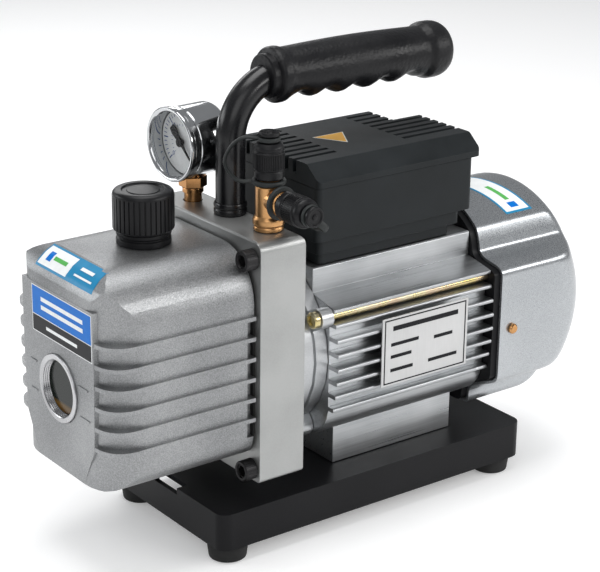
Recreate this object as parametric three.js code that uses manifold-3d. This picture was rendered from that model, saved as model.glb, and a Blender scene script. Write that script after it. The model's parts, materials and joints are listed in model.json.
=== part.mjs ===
import * as THREE from 'three';
import { mergeVertices } from 'three/addons/utils/BufferGeometryUtils.js';
import Module from 'manifold-3d';

const wasm = await Module();
wasm.setup();

// Two-stage rotary vane vacuum pump with its motor, in millimetres, +Z up.
// The pieces are drawn with X = 0 at the bracket plate's front face, +X towards the motor,
// Y = 0 in the shaft's plane and Z = 0 on the floor. The last lines move the origin to the
// middle of the whole pump's footprint.

// ---------- driving dimensions ----------
const GAP = 0.3;                      // left between pieces that touch
const SHAFT_Z = 88;

const CASING = {
  front: -79, rear: -1.4, halfWidth: 44.7, bodyHalfWidth: 42.9, corner: 22, crown: 24.5, top: 149.6, bottom: 48.5, wall: 6,
};
const RIB = { top: 119.1, pitch: 10, thickness: 2, count: 6, crease: 60.1 };
const SCREW = { y: 40.2, high: 146.2, low: 42.4, headRadius: 5, headLength: 6, shankRadius: 2.7 };
const SIGHT = { z: 88.4, outerRadius: 16.2, openingRadius: 13 };
const FILLER = { x: -32.6, neckRadius: 12.7, threadRadius: 10, capRadius: 14.2, capBottom: 156, capTop: 175 };
const DRAIN = { x: -37, y: -10 };

const PLATE = { depth: 25.3, halfWidth: 46.1, bottom: 36.2, top: 154.5, corner: 5 };
const TUBE = { x: 15.4, radius: 7, bendCentreX: 43.4, bendZ: 189.5, gripZ: 217.5, end: 134 };
const GRIP = { front: 33, rear: 143, radius: 12.2, flangeRadius: 13.3, valleys: 5, valleyPitch: 16.4 };
const GAUGE = { x: 12.6, y: 27.3, z: 184, caseRadius: 17.2, bezelRadius: 18, face: -13.2, turn: 4 };
const PORT = { x: 15.5, y: -30.3, sideZ: 169.5 };

const MOTOR = { front: 41.3, rear: 139, bore: 40, rodY: 43, rodZ: 110.2, lowRodY: 28, lowRodZ: 50 };
const FIN = { count: 7, top: 106.4, pitch: 7.17, thickness: 2.2, tips: [49, 50.5, 51.3, 51.3, 50.5, 49.5, 48] };
const FOOTING = { front: 54.8, rear: 130, halfWidth: 31, bottom: 26.6 };
const COWL = { front: 143, wall: 1.4, archRadius: 45.5, archZ: 98.3, side: 52, bottom: 36.2, domeRadius: 71, domeX: 147 };

const BOX = { front: 38.5, rear: 134, halfWidth: 37, bottom: 144.8, top: 171, skirtInset: 4, wall: 2.5 };
const LID = { front: 38, rear: 137.5, rim: 171.3, shoulder: 174.2, top: 181.5, topHalfWidth: 29.4 };
const LID_GROOVE = { count: 8, first: 23.9, pitch: 6.2, width: 2.6, depth: 1.6, frontEnd: 62, rearStart: 103 };
const ROCKER = { x: 127, y: 22, z: 173, halfWidth: 4, halfLength: 8.6, tilt: 8 };
const INLET = { x: 74, z: 158, width: 27, height: 20 };

const TRAY = { front: -22.8, rear: 165.8, halfWidth: 48.1, bottom: 7.6, top: 26.3, wall: 2.6 };
const FOOT = { radius: 10, bottomRadius: 9, inset: 10, rearInset: 12.5 };

const BORE = { radius: 23, eccentric: 2.9, outerRadius: 29 };
const ROTOR_RADIUS = 19.8;
const STAGES = [{ front: -48.4, rear: -30.6 }, { front: -27.4, rear: -5.2 }];
const VANE = { thickness: 4, length: 12, tip: 19.6 };
const SHAFT_RADIUS = 6;

// ---------- materials ----------
const finish = (color, roughness, metalness) =>
  new THREE.MeshStandardMaterial({ color, roughness, metalness });
const dieCast = finish(0xc4c6c8, 0.38, 0.9);
const plateGrey = finish(0xb9bab8, 0.5, 0.8);
const extrusion = finish(0xcfd1d2, 0.35, 0.9);
const silverPaint = finish(0xc9cdd0, 0.3, 0.7);
const blackOxide = finish(0x1d1d1f, 0.45, 0.6);
const blackPaint = finish(0x17181a, 0.4, 0.1);
const charcoal = finish(0x2b3236, 0.65, 0);
const blackRubber = finish(0x141414, 0.8, 0);
const gripBlack = finish(0x18191a, 0.6, 0);
const brass = finish(0xc07a3c, 0.3, 1);
const steel = finish(0xb5b7b9, 0.25, 1);
const chrome = finish(0xdfe1e3, 0.08, 1);
const dialWhite = finish(0xf2f2ee, 0.6, 0);
const clear = finish(0xe8eef0, 0.05, 0);
const amberGlass = finish(0x8a5a1c, 0.08, 0);
const zincYellow = finish(0xb9a46a, 0.3, 1);
const castIron = finish(0x4a4b4d, 0.6, 0.8);
const laminations = finish(0x6d6f72, 0.5, 0.8);
const vaneCarbon = finish(0x2a2a2c, 0.7, 0);

// ---------- solids ----------
const vector = (x, y, z) => new THREE.Vector3(x, y, z);
const SECTION_AXES = {
  x: new THREE.Matrix4().makeBasis(vector(0, 1, 0), vector(0, 0, 1), vector(1, 0, 0)),
  y: new THREE.Matrix4().makeBasis(vector(0, 0, 1), vector(1, 0, 0), vector(0, 1, 0)),
  z: new THREE.Matrix4(),
};

function toSolid(geometry) {
  const bare = new THREE.BufferGeometry();
  bare.setAttribute('position', geometry.getAttribute('position'));
  if (geometry.index) bare.setIndex(geometry.index);
  const merged = mergeVertices(bare, 1e-4);
  const position = merged.getAttribute('position').array;
  const index = merged.index.array;
  const corner = (i) => vector().fromArray(position, 3 * i);
  const faces = [];
  let volume = 0;
  for (let i = 0; i < index.length; i += 3) {
    const [a, b, c] = index.slice(i, i + 3);
    if (a === b || b === c || c === a) continue;
    faces.push([a, b, c]);
    volume += corner(a).dot(corner(b).cross(corner(c)));
  }
  const outward = volume > 0 ? faces : faces.map(([a, b, c]) => [a, c, b]);
  const mesh = new wasm.Mesh({
    numProp: 3,
    vertProperties: Float32Array.from(position),
    triVerts: Uint32Array.from(outward.flat()),
  });
  mesh.merge();
  return new wasm.Manifold(mesh);
}

function toGeometry(solid) {
  const mesh = solid.getMesh();
  const geometry = new THREE.BufferGeometry();
  geometry.setAttribute('position', new THREE.BufferAttribute(mesh.vertProperties, 3));
  geometry.setIndex(new THREE.BufferAttribute(mesh.triVerts, 1));
  geometry.computeVertexNormals();
  return geometry;
}

const join = (...pieces) => toGeometry(pieces.map(toSolid).reduce((a, b) => a.add(b)));
const cut = (piece, ...tools) => toGeometry(tools.map(toSolid).reduce((a, b) => a.subtract(b), toSolid(piece)));
const common = (...pieces) => toGeometry(pieces.map(toSolid).reduce((a, b) => a.intersect(b)));

// An outline's points are (y, z) for a prism along X, (z, x) along Y and (x, y) along Z.
function prism(points, axis, from, to) {
  const shape = new THREE.Shape(points.map(([u, v]) => new THREE.Vector2(u, v)));
  const geometry = new THREE.ExtrudeGeometry(shape, { depth: to - from, bevelEnabled: false });
  geometry.applyMatrix4(SECTION_AXES[axis]);
  const shift = { x: [from, 0, 0], y: [0, from, 0], z: [0, 0, from] }[axis];
  return geometry.translate(...shift);
}

function block([x0, x1], [y0, y1], [z0, z1]) {
  return new THREE.BoxGeometry(x1 - x0, y1 - y0, z1 - z0)
    .translate((x0 + x1) / 2, (y0 + y1) / 2, (z0 + z1) / 2);
}

// A profile's points are (radius, distance along the axis).
function turned(profile, axis, at, sides = 16) {
  const geometry = new THREE.LatheGeometry(profile.map(([r, s]) => new THREE.Vector2(r, s)), sides);
  if (axis === 'x') geometry.rotateZ(-Math.PI / 2);
  if (axis === 'z') geometry.rotateX(Math.PI / 2);
  return geometry.translate(...at);
}

const disc = (radius, axis, from, to, at, sides) =>
  turned([[0, from], [radius, from], [radius, to], [0, to]], axis, at, sides);
const ring = (inner, outer, axis, from, to, at, sides) =>
  turned([[inner, from], [outer, from], [outer, to], [inner, to], [inner, from]], axis, at, sides);

// Points along a quadratic bend, and a circle's arc between two angles in degrees.
function bend(start, control, end, steps = 4) {
  const curve = new THREE.QuadraticBezierCurve(...[start, control, end].map((p) => new THREE.Vector2(...p)));
  return curve.getPoints(steps).map((p) => [p.x, p.y]);
}

function arc([cu, cv], radius, from, to, steps = 6) {
  return Array.from({ length: steps + 1 }, (_, i) => {
    const angle = THREE.MathUtils.degToRad(from + ((to - from) * i) / steps);
    return [cu + radius * Math.cos(angle), cv + radius * Math.sin(angle)];
  });
}

// Closes a half outline by its mirror image in the first or the second coordinate.
const mirrorFirst = (half) => [...half, ...half.slice().reverse().map(([u, v]) => [-u, v])];
const mirrorSecond = (half) => [...half, ...half.slice().reverse().map(([u, v]) => [u, -v])];

function roundedBox([x0, x1], halfWidth, [z0, z1], radius) {
  const outline = [
    ...arc([x1 - radius, halfWidth - radius], radius, 0, 90, 4),
    ...arc([x0 + radius, halfWidth - radius], radius, 90, 180, 4),
    ...arc([x0 + radius, radius - halfWidth], radius, 180, 270, 4),
    ...arc([x1 - radius, radius - halfWidth], radius, 270, 360, 4),
  ];
  return prism(outline, 'z', z0, z1);
}

// A round bar of teeth along Z, for a knurled cap.
function fluted(radius, depth, flutes, from, to, at) {
  const outline = Array.from({ length: flutes * 2 }, (_, i) => {
    const angle = (i * Math.PI) / flutes;
    const r = i % 2 ? radius - depth : radius;
    return [at[0] + r * Math.cos(angle), at[1] + r * Math.sin(angle)];
  });
  return prism(outline, 'z', from, to).translate(0, 0, at[2]);
}

// ---------- the pump, filled piece by piece ----------
const pump = new THREE.Group();

function add(name, geometry, material, at = [0, 0, 0], parent = pump) {
  const mesh = new THREE.Mesh(toGeometry(toSolid(geometry)), material);
  mesh.name = name;
  mesh.position.set(...at);
  parent.add(mesh);
}

// ---------- oil casing ----------
function bodyPlan(inset, rear) {
  const side = CASING.bodyHalfWidth - inset;
  const front = CASING.front + inset;
  const radius = CASING.corner - inset;
  return mirrorSecond([[rear, side], ...arc([front + radius, side - radius], radius, 90, 180, 8)]);
}

function bodySection(inset) {
  const side = CASING.bodyHalfWidth - inset;
  const top = CASING.top - inset;
  const bottom = CASING.bottom + inset;
  const radius = CASING.crown - inset;
  return mirrorFirst([
    ...arc([side - radius, top - radius], radius, 90, 0, 8),
    ...bend([side, bottom + 11.6], [side - 1.2, bottom + 1], [side - 10.7, bottom]),
  ]);
}

function bodyShape(inset, rear) {
  const front = CASING.front + inset;
  const top = CASING.top - inset;
  const profile = [
    [40, front - 1], [top - 16.6, front - 1], [top - 16.6, front],
    ...bend([top - 16.6, front], [top - 5.6, front + 0.5], [top, front + 13]),
    [top + 1, front + 13], [top + 1, rear + 1], [40, rear + 1],
  ];
  return common(
    prism(bodySection(inset), 'x', CASING.front - 1, rear),
    prism(bodyPlan(inset, rear), 'z', 40, 156),
    prism(profile, 'y', -50, 50),
  );
}

// The flat panel that carries the label and the sight glass.
const PANEL_EDGE = [[31, 134], [31, 98], [29.9, 68], [21, 50]];

function oilCasing() {
  const ribPlan = mirrorSecond([
    [CASING.rear, CASING.halfWidth],
    ...bend([CASING.front + 14, CASING.halfWidth], [CASING.front + 0.4, CASING.halfWidth - 0.6], [CASING.front, 29], 7),
  ]);
  const ribs = [];
  const slots = [];
  for (let i = 0; i < RIB.count; i += 1) {
    const middle = RIB.top - i * RIB.pitch;
    const low = middle - RIB.thickness / 2;
    ribs.push(prism(ribPlan, 'z', low, low + RIB.thickness));
    const slotLow = i === RIB.count - 1 ? RIB.crease : low - RIB.pitch + RIB.thickness;
    for (const side of [-1, 1]) {
      const inner = side * (CASING.halfWidth - 4.6);
      slots.push(block([CASING.rear - 3.6, 2], [inner, side * 50].sort((a, b) => a - b), [slotLow, low]));
    }
  }
  const panel = prism(mirrorFirst(PANEL_EDGE), 'x', CASING.front, CASING.front + 12);
  return cut(
    join(bodyShape(0, CASING.rear), panel, ...ribs),
    bodyShape(CASING.wall, 4),
    ...slots,
    disc(SIGHT.outerRadius + GAP, 'x', -90, -60, [0, 0, SIGHT.z], 20),
    disc(8, 'z', 135, 160, [FILLER.x, 0, 0]),
    disc(4.4, 'z', 40, 60, [DRAIN.x, DRAIN.y, 0], 14),
  );
}

add('oil_casing', oilCasing(), dieCast);

const gasketRing = cut(
  prism(bodySection(0.8), 'x', CASING.rear + GAP, -GAP),
  prism(bodySection(CASING.wall), 'x', -5, 5),
);
add('casing_gasket', gasketRing, blackRubber);

// Socket screws that hold the casing and the plate to the motor: head, hex socket and shank.
const socketScrew = cut(
  turned([[0, -0.5], [4.4, -0.5], [SCREW.headRadius, 0], [SCREW.headRadius, SCREW.headLength],
    [SCREW.shankRadius, SCREW.headLength], [SCREW.shankRadius, 24], [0, 24]], 'x', [0, 0, 0], 12),
  disc(2.9, 'x', -2, 3, [0, 0, 0], 6),
);
const screwPlaces = [[-1, SCREW.high], [1, SCREW.high], [-1, SCREW.low], [1, SCREW.low]];
screwPlaces.forEach(([side, z], i) => {
  add(`casing_screw_${i + 1}`, socketScrew, blackOxide, [-SCREW.headLength - GAP, side * SCREW.y, z]);
});

const sightRing = turned([[SIGHT.openingRadius, -80.2], [SIGHT.outerRadius, -80.2],
  [SIGHT.outerRadius, -72.5], [11, -72.5], [11, -74.2], [SIGHT.openingRadius, -74.2],
  [SIGHT.openingRadius, -80.2]], 'x', [0, 0, SIGHT.z], 20);
add('sight_glass_ring', sightRing, steel);
add('sight_glass_lens', disc(12.7, 'x', -77, -74.5, [0, 0, SIGHT.z], 20), amberGlass);

const fillerNeck = turned([[6.5, 144], [7.7, 144], [7.7, CASING.top + GAP], [FILLER.neckRadius, CASING.top + GAP],
  [FILLER.neckRadius, 152.4], [11.8, 152.9], [11.8, 153.4], [FILLER.neckRadius, 153.9],
  [FILLER.neckRadius, FILLER.capBottom - GAP], [FILLER.threadRadius, FILLER.capBottom - GAP],
  [FILLER.threadRadius, 164], [6.5, 164], [6.5, 144]], 'z', [FILLER.x, 0, 0]);
add('filler_neck', fillerNeck, blackPaint);
add('filler_cap_seal', ring(6.6, 9.6, 'z', 164.3, 166, [FILLER.x, 0, 0]), blackRubber);

function fillerCap() {
  const top = FILLER.capTop;
  const skirt = fluted(FILLER.capRadius, 1, 28, FILLER.capBottom, top - 2, [0, 0, 0]);
  const crown = turned([[0, top - 6], [13, top - 6], [13, top - 1.2], [12, top], [9.6, top], [9.2, top - 0.8],
    [0, top - 0.8]], 'z', [0, 0, 0], 24);
  return cut(join(skirt, crown), disc(FILLER.threadRadius + 0.4, 'z', 150, 166.3, [0, 0, 0], 24));
}
add('filler_cap', fillerCap(), blackPaint, [FILLER.x, 0, 0]);

const drainPlug = join(disc(6.9, 'z', 41.4, 48.2, [0, 0, 0], 6), disc(4, 'z', 45, 54, [0, 0, 0], 14));
add('drain_plug', drainPlug, steel, [DRAIN.x, DRAIN.y, 0]);

// ---------- bracket plate and what screws into its top ----------
function bracketPlate() {
  const { depth, halfWidth, bottom, top, corner } = PLATE;
  const face = mirrorFirst([
    ...arc([halfWidth - corner, top - corner], corner, 90, 0, 5),
    ...arc([halfWidth - 2, bottom + 2], 2, 0, -90, 3),
  ]);
  const profile = [[bottom - 1, 0], [top - 0.8, 0], [top, 0.8],
    ...bend([top, depth - 4], [top - 0.3, depth - 0.3], [top - 4, depth], 4), [bottom - 1, depth]];
  return cut(
    common(prism(face, 'x', -1, depth + 1), prism(profile, 'y', -halfWidth - 1, halfWidth + 1)),
    disc(9, 'x', -5, 30, [0, 0, SHAFT_Z]),
    ...screwPlaces.map(([side, z]) => disc(3.1, 'x', -5, 30, [0, side * SCREW.y, z], 12)),
    disc(TUBE.radius + GAP, 'z', 140, 160, [TUBE.x, 0, 0]),
    disc(4.7, 'z', 144, 160, [GAUGE.x, GAUGE.y, 0], 12),
    disc(5.2, 'z', 140, 160, [PORT.x, PORT.y, 0], 12),
  );
}
add('bracket_plate', bracketPlate(), plateGrey);

class HandleRoute extends THREE.Curve {
  getPoint(t, target = vector()) {
    const radius = TUBE.bendCentreX - TUBE.x;
    const rise = TUBE.bendZ - 141;
    const turn = (radius * Math.PI) / 2;
    const run = TUBE.end - TUBE.bendCentreX;
    const s = t * (rise + turn + run);
    if (s < rise) return target.set(TUBE.x, 0, 141 + s);
    if (s > rise + turn) return target.set(TUBE.bendCentreX + s - rise - turn, 0, TUBE.gripZ);
    const angle = (s - rise) / radius;
    return target.set(TUBE.bendCentreX - radius * Math.cos(angle), 0, TUBE.bendZ + radius * Math.sin(angle));
  }
}

function tubeAlongRoute(radius) {
  const outline = new THREE.Shape(arc([0, 0], radius, 0, 330, 11).map((p) => new THREE.Vector2(...p)));
  return new THREE.ExtrudeGeometry(outline, { steps: 20, extrudePath: new HandleRoute(), bevelEnabled: false });
}

function handleTube() {
  const ferrule = turned([[TUBE.radius - 1, PLATE.top + GAP], [TUBE.radius + 0.7, PLATE.top + GAP],
    [TUBE.radius + 0.9, 157], [TUBE.radius + 0.4, 157.8], [TUBE.radius + 0.9, 158.6],
    [TUBE.radius + 0.5, 160.4], [TUBE.radius - 1, 160.4], [TUBE.radius - 1, PLATE.top + GAP]],
  'z', [TUBE.x, 0, 0], 12);
  return join(tubeAlongRoute(TUBE.radius), ferrule);
}
add('handle_tube', handleTube(), blackPaint);

// Grip: a turned body with a collar and two flanges, finger valleys scooped from underneath.
function handleGrip() {
  const { front, rear, radius, flangeRadius } = GRIP;
  const body = turned([[0, front], [9.6, front], [10.5, front + 0.8], [10.5, front + 3.4], [12, front + 4],
    [flangeRadius, front + 5.4], [flangeRadius, front + 9], [radius, front + 12.5], [radius + 0.9, front + 30],
    [radius + 1, front + 70], [radius, rear - 18], [radius + 0.6, rear - 15.5], [13.9, rear - 13.6],
    [14, rear - 8], [13, rear - 4], [10, rear - 1.2], [5.5, rear], [0, rear]], 'x', [0, 0, TUBE.gripZ], 16);
  const scoops = [];
  for (let i = 0; i < GRIP.valleys; i += 1) {
    const x = front + 17.6 + i * GRIP.valleyPitch;
    scoops.push(turned([[0, -20], [9.6, -20], [9.6, 20], [0, 20]], 'y', [x, 0, TUBE.gripZ - radius - 6.2], 14));
  }
  const bore = disc(TUBE.radius, 'x', TUBE.end - 1, TUBE.end + 1, [0, 0, TUBE.gripZ], 12);
  return cut(body, ...scoops, tubeAlongRoute(TUBE.radius + GAP), bore);
}
add('handle_grip', handleGrip(), gripBlack);

// Vacuum gauge: everything in front of the stem turns a little towards the intake side.
const gauge = new THREE.Group();
gauge.position.set(GAUGE.x, GAUGE.y, GAUGE.z);
gauge.rotation.z = THREE.MathUtils.degToRad(GAUGE.turn);
pump.add(gauge);

const gaugeCase = cut(
  turned([[0, -11], [GAUGE.caseRadius, -11], [GAUGE.caseRadius, 9.6], [15.6, 11.2], [0, 11.2]], 'x', [0, 0, 0], 18),
  disc(GAUGE.caseRadius - 1.2, 'x', -20, 2, [0, 0, 0], 18),
  disc(6, 'z', -20, -15.2, [0, 0, 0], 16),
);
add('gauge_case', gaugeCase, chrome, [0, 0, 0], gauge);
const gaugeBezel = turned([[15.6, GAUGE.face], [17.2, GAUGE.face - 1], [GAUGE.bezelRadius, GAUGE.face],
  [GAUGE.bezelRadius, -11.3], [15.6, -11.3], [15.6, GAUGE.face]], 'x', [0, 0, 0], 18);
add('gauge_bezel', gaugeBezel, chrome, [0, 0, 0], gauge);
add('gauge_lens', disc(15.3, 'x', -13, -11.4, [0, 0, 0], 18), clear, [0, 0, 0], gauge);
add('gauge_dial', ring(1.2, 15.6, 'x', -6, -5, [0, 0, 0], 18), dialWhite, [0, 0, 0], gauge);

// The needle: a long thin pointer low on the intake side and a short broad tail opposite.
function gaugeNeedle() {
  const thickness = [-7.6, -7];
  const pointer = prism([[-0.9, 0], [0.9, 0], [0.3, 11.4], [-0.3, 11.4]], 'x', ...thickness);
  const tail = prism([[-1, 0], [-2.3, -6.5], [-1.7, -9.3], [1.7, -9.3], [2.3, -6.5], [1, 0]], 'x', ...thickness);
  const hub = join(disc(2.2, 'x', -8.4, ...thickness.slice(1), [0, 0, 0], 14), disc(0.8, 'x', -8, 1, [0, 0, 0], 12));
  return join(pointer, tail, hub).rotateX(THREE.MathUtils.degToRad(135));
}
add('gauge_needle', gaugeNeedle(), blackPaint, [0, 0, 0], gauge);

const gaugeStem = join(
  disc(4.3, 'z', 145, 168, [0, 0, 0], 16),
  disc(6.9, 'z', 161.6, 166.6, [0, 0, 0], 6),
  disc(5.2, 'z', 158.6, 161, [0, 0, 0], 16),
);
add('gauge_stem', gaugeStem, brass, [GAUGE.x, GAUGE.y, 0]);

// Intake fitting: a brass tee with flare threads on top and on the side.
const intakeFitting = cut(
  join(
    turned([[0, 141], [4.9, 141], [4.9, PLATE.top + GAP], [7, PLATE.top + GAP], [7.1, 157.6], [7.3, 158.2],
      [7.3, 160.4], [6.6, 161.6], [6.3, 162], [6.3, 176], [5.2, 176.4], [4.9, 178.6], [4.9, 189.6], [0, 189.6]],
    'z', [0, 0, 0], 14),
    turned([[0, 0], [5.6, 0], [5.6, -10.8], [5, -11.2], [5, -25.6], [0, -25.6]], 'y', [0, 0, PORT.sideZ], 14),
  ),
  disc(2.6, 'z', 130, 200, [0, 0, 0], 8),
  turned([[0, 0], [2.6, 0], [2.6, -30], [0, -30]], 'y', [0, 0, PORT.sideZ], 8),
);
add('intake_fitting', intakeFitting, brass, [PORT.x, PORT.y, 0]);

// A screw cap standing on Z = 0 with its knob at the top, and hollow underneath.
function flareCap() {
  const knurl = fluted(7.2, 0.6, 16, 4.6, 12.6, [0, 0, 0]);
  const body = turned([[0, 0], [6.5, 0], [6.9, 0.7], [6.9, 4], [6.2, 4.6], [6.2, 12.8], [6.9, 13.4], [6.9, 15.2],
    [5.6, 16.8], [2.6, 17.2], [2.6, 19.6], [4.7, 19.9], [4.5, 21.8], [0, 21.8]], 'z', [0, 0, 0], 14);
  return cut(join(knurl, body), disc(5.3, 'z', -2, 12.6, [0, 0, 0], 12));
}

// A cap's rubber strap: a ring under the knob, a ring on the neck and a band that bows out.
function capStrap(reach, neckZ) {
  const route = new THREE.CatmullRomCurve3([vector(4, 0, 18.4), vector(11, 0, 19.2), vector(reach - 3, 0, 14.6),
    vector(reach, 0, 7), vector(reach - 4, 0, 0), vector(12, 0, neckZ - 0.3), vector(6.4, 0, neckZ)]);
  const section = new THREE.Shape([[-1.6, -0.9], [1.6, -0.9], [1.6, 0.9], [-1.6, 0.9]]
    .map(([u, v]) => new THREE.Vector2(u, v)));
  const band = new THREE.ExtrudeGeometry(section, { steps: 16, extrudePath: route, bevelEnabled: false });
  return join(band, ring(2.9, 5.2, 'z', 17.5, 19.3, [0, 0, 0], 12), ring(6.1, 8, 'z', neckZ - 1, neckZ + 1,
    [0, 0, 0], 12));
}

const capGroup = (at, rotation) => {
  const group = new THREE.Group();
  group.position.set(...at);
  group.rotation.set(...rotation);
  pump.add(group);
  return group;
};
const topCapPlace = capGroup([PORT.x, PORT.y, 179.2], [0, 0, 0]);
add('top_cap', flareCap(), blackPaint, [0, 0, 0], topCapPlace);
const sideCapPlace = capGroup([PORT.x, PORT.y - 13.5, PORT.sideZ], [Math.PI / 2, 0, 0]);
add('side_cap', flareCap(), blackPaint, [0, 0, 0], sideCapPlace);
const strapTurn = THREE.MathUtils.degToRad(143);
add('top_strap', capStrap(20, -1.5).rotateZ(strapTurn), blackRubber, [0, 0, 0], topCapPlace);
const sideStrapTurn = THREE.MathUtils.degToRad(-42);
add('side_strap', capStrap(15.5, -3.6).rotateZ(sideStrapTurn), blackRubber, [0, 0, 0], sideCapPlace);

// ---------- motor ----------
const rodPlaces = [[-MOTOR.rodY, MOTOR.rodZ], [MOTOR.rodY, MOTOR.rodZ],
  [-MOTOR.lowRodY, MOTOR.lowRodZ], [MOTOR.lowRodY, MOTOR.lowRodZ]];
const rodHoles = (from, to) => rodPlaces.map(([y, z]) => disc(2.5, 'x', from, to, [0, y, z], 8));

function frontShield() {
  const dish = turned([[9, 25.6], [43, 25.6], [43, 33], [42.2, 33.3], [42.2, 33.9], [43.5, 34.4], [43.5, 41],
    [37, 41], [37, 34.5], [17, 34.5], [17, 38.4], [13.3, 38.4], [13.3, 30], [9, 30], [9, 25.6]],
  'x', [0, 0, SHAFT_Z], 24);
  const lugs = rodPlaces.flatMap(([y, z]) => {
    const angle = Math.atan2(z - SHAFT_Z, y);
    const reach = Math.hypot(y, z - SHAFT_Z);
    const web = block([34.4, 41], [38, reach], [-5, 5]).rotateX(angle).translate(0, 0, SHAFT_Z);
    return [web, disc(5, 'x', 34.4, 41, [0, y, z], 12)];
  });
  return cut(join(dish, ...lugs), ...rodHoles(30, 45));
}
add('front_shield', frontShield(), extrusion);

// Housing section: a flat platform, shoulders that end in a lip over each tie rod, straight sides
// with level fins, and a rounded belly over the foot.
function motorHousing() {
  const { front, rear, bore } = MOTOR;
  const half = [[0, 130.5], [29.6, 130.5], [30.4, 129.7], [30.4, 118], [46.6, 114.8], [47.6, 114.3],
    [47.6, 112.9], [40.2, 112.9], [39.6, 112.3], [39.6, 108.1], [40.2, 107.5], [44, 107.5], [44, 62],
    ...bend([44, 62], [42, 50], [30, 45.5], 6), [0, 44.6]];
  const fins = FIN.tips.flatMap((tip, i) => {
    const z = FIN.top - i * FIN.pitch;
    const blade = [[42, z - FIN.thickness / 2], [tip - 0.6, z - FIN.thickness / 2], [tip, z - 0.5],
      [tip, z + 0.5], [tip - 0.6, z + FIN.thickness / 2], [42, z + FIN.thickness / 2]];
    return [prism(blade, 'x', front, rear), prism(blade.map(([y, w]) => [-y, w]).reverse(), 'x', front, rear)];
  });
  const foot = cut(
    block([FOOTING.front, FOOTING.rear], [-FOOTING.halfWidth, FOOTING.halfWidth], [FOOTING.bottom, 56]),
    block([FOOTING.front + 6, FOOTING.rear - 6], [-FOOTING.halfWidth + 6, FOOTING.halfWidth - 6], [20, 41]),
  );
  return cut(
    join(prism(mirrorFirst(half), 'x', front, rear), ...fins, foot),
    disc(bore, 'x', front - 2, rear + 2, [0, 0, SHAFT_Z], 24),
    ...rodHoles(front - 2, rear + 2),
  );
}
add('motor_housing', motorHousing(), extrusion);

// Cowl section, pulled in by an inset: an arch on a narrow neck, broad sides and a stepped belly.
function cowlSection(inset) {
  const radius = COWL.archRadius - inset;
  const neck = 31.5 - inset;
  const start = THREE.MathUtils.radToDeg(Math.acos(neck / radius));
  const side = COWL.side - inset;
  return mirrorFirst([
    ...arc([0, COWL.archZ], radius, 90, start, 7),
    ...bend([neck, COWL.archZ + radius * Math.sin(start * Math.PI / 180)], [neck + 2.6, 125], [34.5 - inset, 121]),
    ...bend([34.5 - inset, 121], [35.5 - inset, 118.2 - inset], [40, 117.4 - inset], 3),
    ...bend([46, 116.4 - inset], [side, 115.6 - inset], [side, 111], 4),
    ...bend([side, 59], [side, 54.6 + inset], [48 - inset, 53.2 + inset], 4),
    ...bend([36 - inset, 48 + inset], [31 - inset, 46 + inset], [31 - inset, 42], 3),
    ...arc([28 - inset, COWL.bottom + 3 + inset], 3, 0, -90, 3),
  ]);
}

function cowlShape(inset, front, rear) {
  const dome = new THREE.SphereGeometry(COWL.domeRadius - inset, 24, 14).rotateZ(Math.PI / 2)
    .translate(COWL.domeX, 0, SHAFT_Z);
  return common(prism(cowlSection(inset), 'x', front, rear), dome);
}

function fanCowl() {
  const vents = [];
  for (let i = -3; i <= 3; i += 1) {
    const z = SHAFT_Z + i * 8.4;
    const half = Math.sqrt(32 ** 2 - (i * 8.4) ** 2);
    vents.push(block([190, 230], [-half, half], [z - 1.9, z + 1.9]));
  }
  const screwHole = turned([[0, -60], [1.8, -60], [1.8, 60], [0, 60]], 'y', [151, 0, 82.6], 12);
  return cut(cowlShape(0, COWL.front, 222), cowlShape(COWL.wall, COWL.front - 3, 220), ...vents, screwHole);
}
add('fan_cowl', fanCowl(), silverPaint);

const cowlScrew = turned([[0, 0], [1.5, 0], [1.5, 4.6], [2.7, 4.6], [2.7, 5.6], [1.9, 6.4], [0, 6.5]], 'y', [0, 0, 0], 12);
const cowlScrewSeat = COWL.side + GAP - 4.6;
add('cowl_screw_1', cowlScrew.clone().rotateX(Math.PI), brass, [151, -cowlScrewSeat, 82.6]);
add('cowl_screw_2', cowlScrew, brass, [151, cowlScrewSeat, 82.6]);

function rearShield() {
  const clearance = COWL.wall + GAP;
  const rim = cut(
    prism(cowlSection(clearance), 'x', MOTOR.rear + GAP, 156),
    prism(cowlSection(clearance + 4), 'x', 146.5, 160),
  );
  return cut(
    rim,
    disc(13.3, 'x', 130, 145.2, [0, 0, SHAFT_Z]),
    disc(9, 'x', 130, 160, [0, 0, SHAFT_Z]),
    ...rodHoles(130, 160),
    turned([[0, -60], [1.8, -60], [1.8, 60], [0, 60]], 'y', [151, 0, 82.6], 12),
  );
}
add('rear_shield', rearShield(), blackPaint);

const tieRod = turned([[0, 0], [3.6, 0], [4, 0.5], [4, 3.1], [2.1, 3.1], [2.1, 119], [0, 119]], 'x', [0, 0, 0], 12);
rodPlaces.forEach(([y, z], i) => {
  add(`tie_rod_${i + 1}`, tieRod, zincYellow, [31, y, z]);
});

add('name_plate', block([66.8, 120.6], [-52.3, -51.6], [70.8, 105.5]), steel);

// Rotating and wound parts inside the motor.
const statorSlots = Array.from({ length: 12 }, (_, i) => {
  const angle = (i * Math.PI) / 6;
  return block([50, 130], [26.4, 33], [-2.6, 2.6]).rotateX(angle).translate(0, 0, SHAFT_Z);
});
add('stator_core', cut(ring(24.8, 39.6, 'x', 58, 122, [0, 0, SHAFT_Z], 24), ...statorSlots), laminations);
add('rotor_core', ring(SHAFT_RADIUS + GAP, 24, 'x', 60, 120, [0, 0, SHAFT_Z], 24), laminations);
add('front_bearing', ring(SHAFT_RADIUS + GAP, 13, 'x', 30.3, 38, [0, 0, SHAFT_Z]), steel);
add('rear_bearing', ring(SHAFT_RADIUS + GAP, 13, 'x', 139.8, 144.9, [0, 0, SHAFT_Z]), steel);

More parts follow.
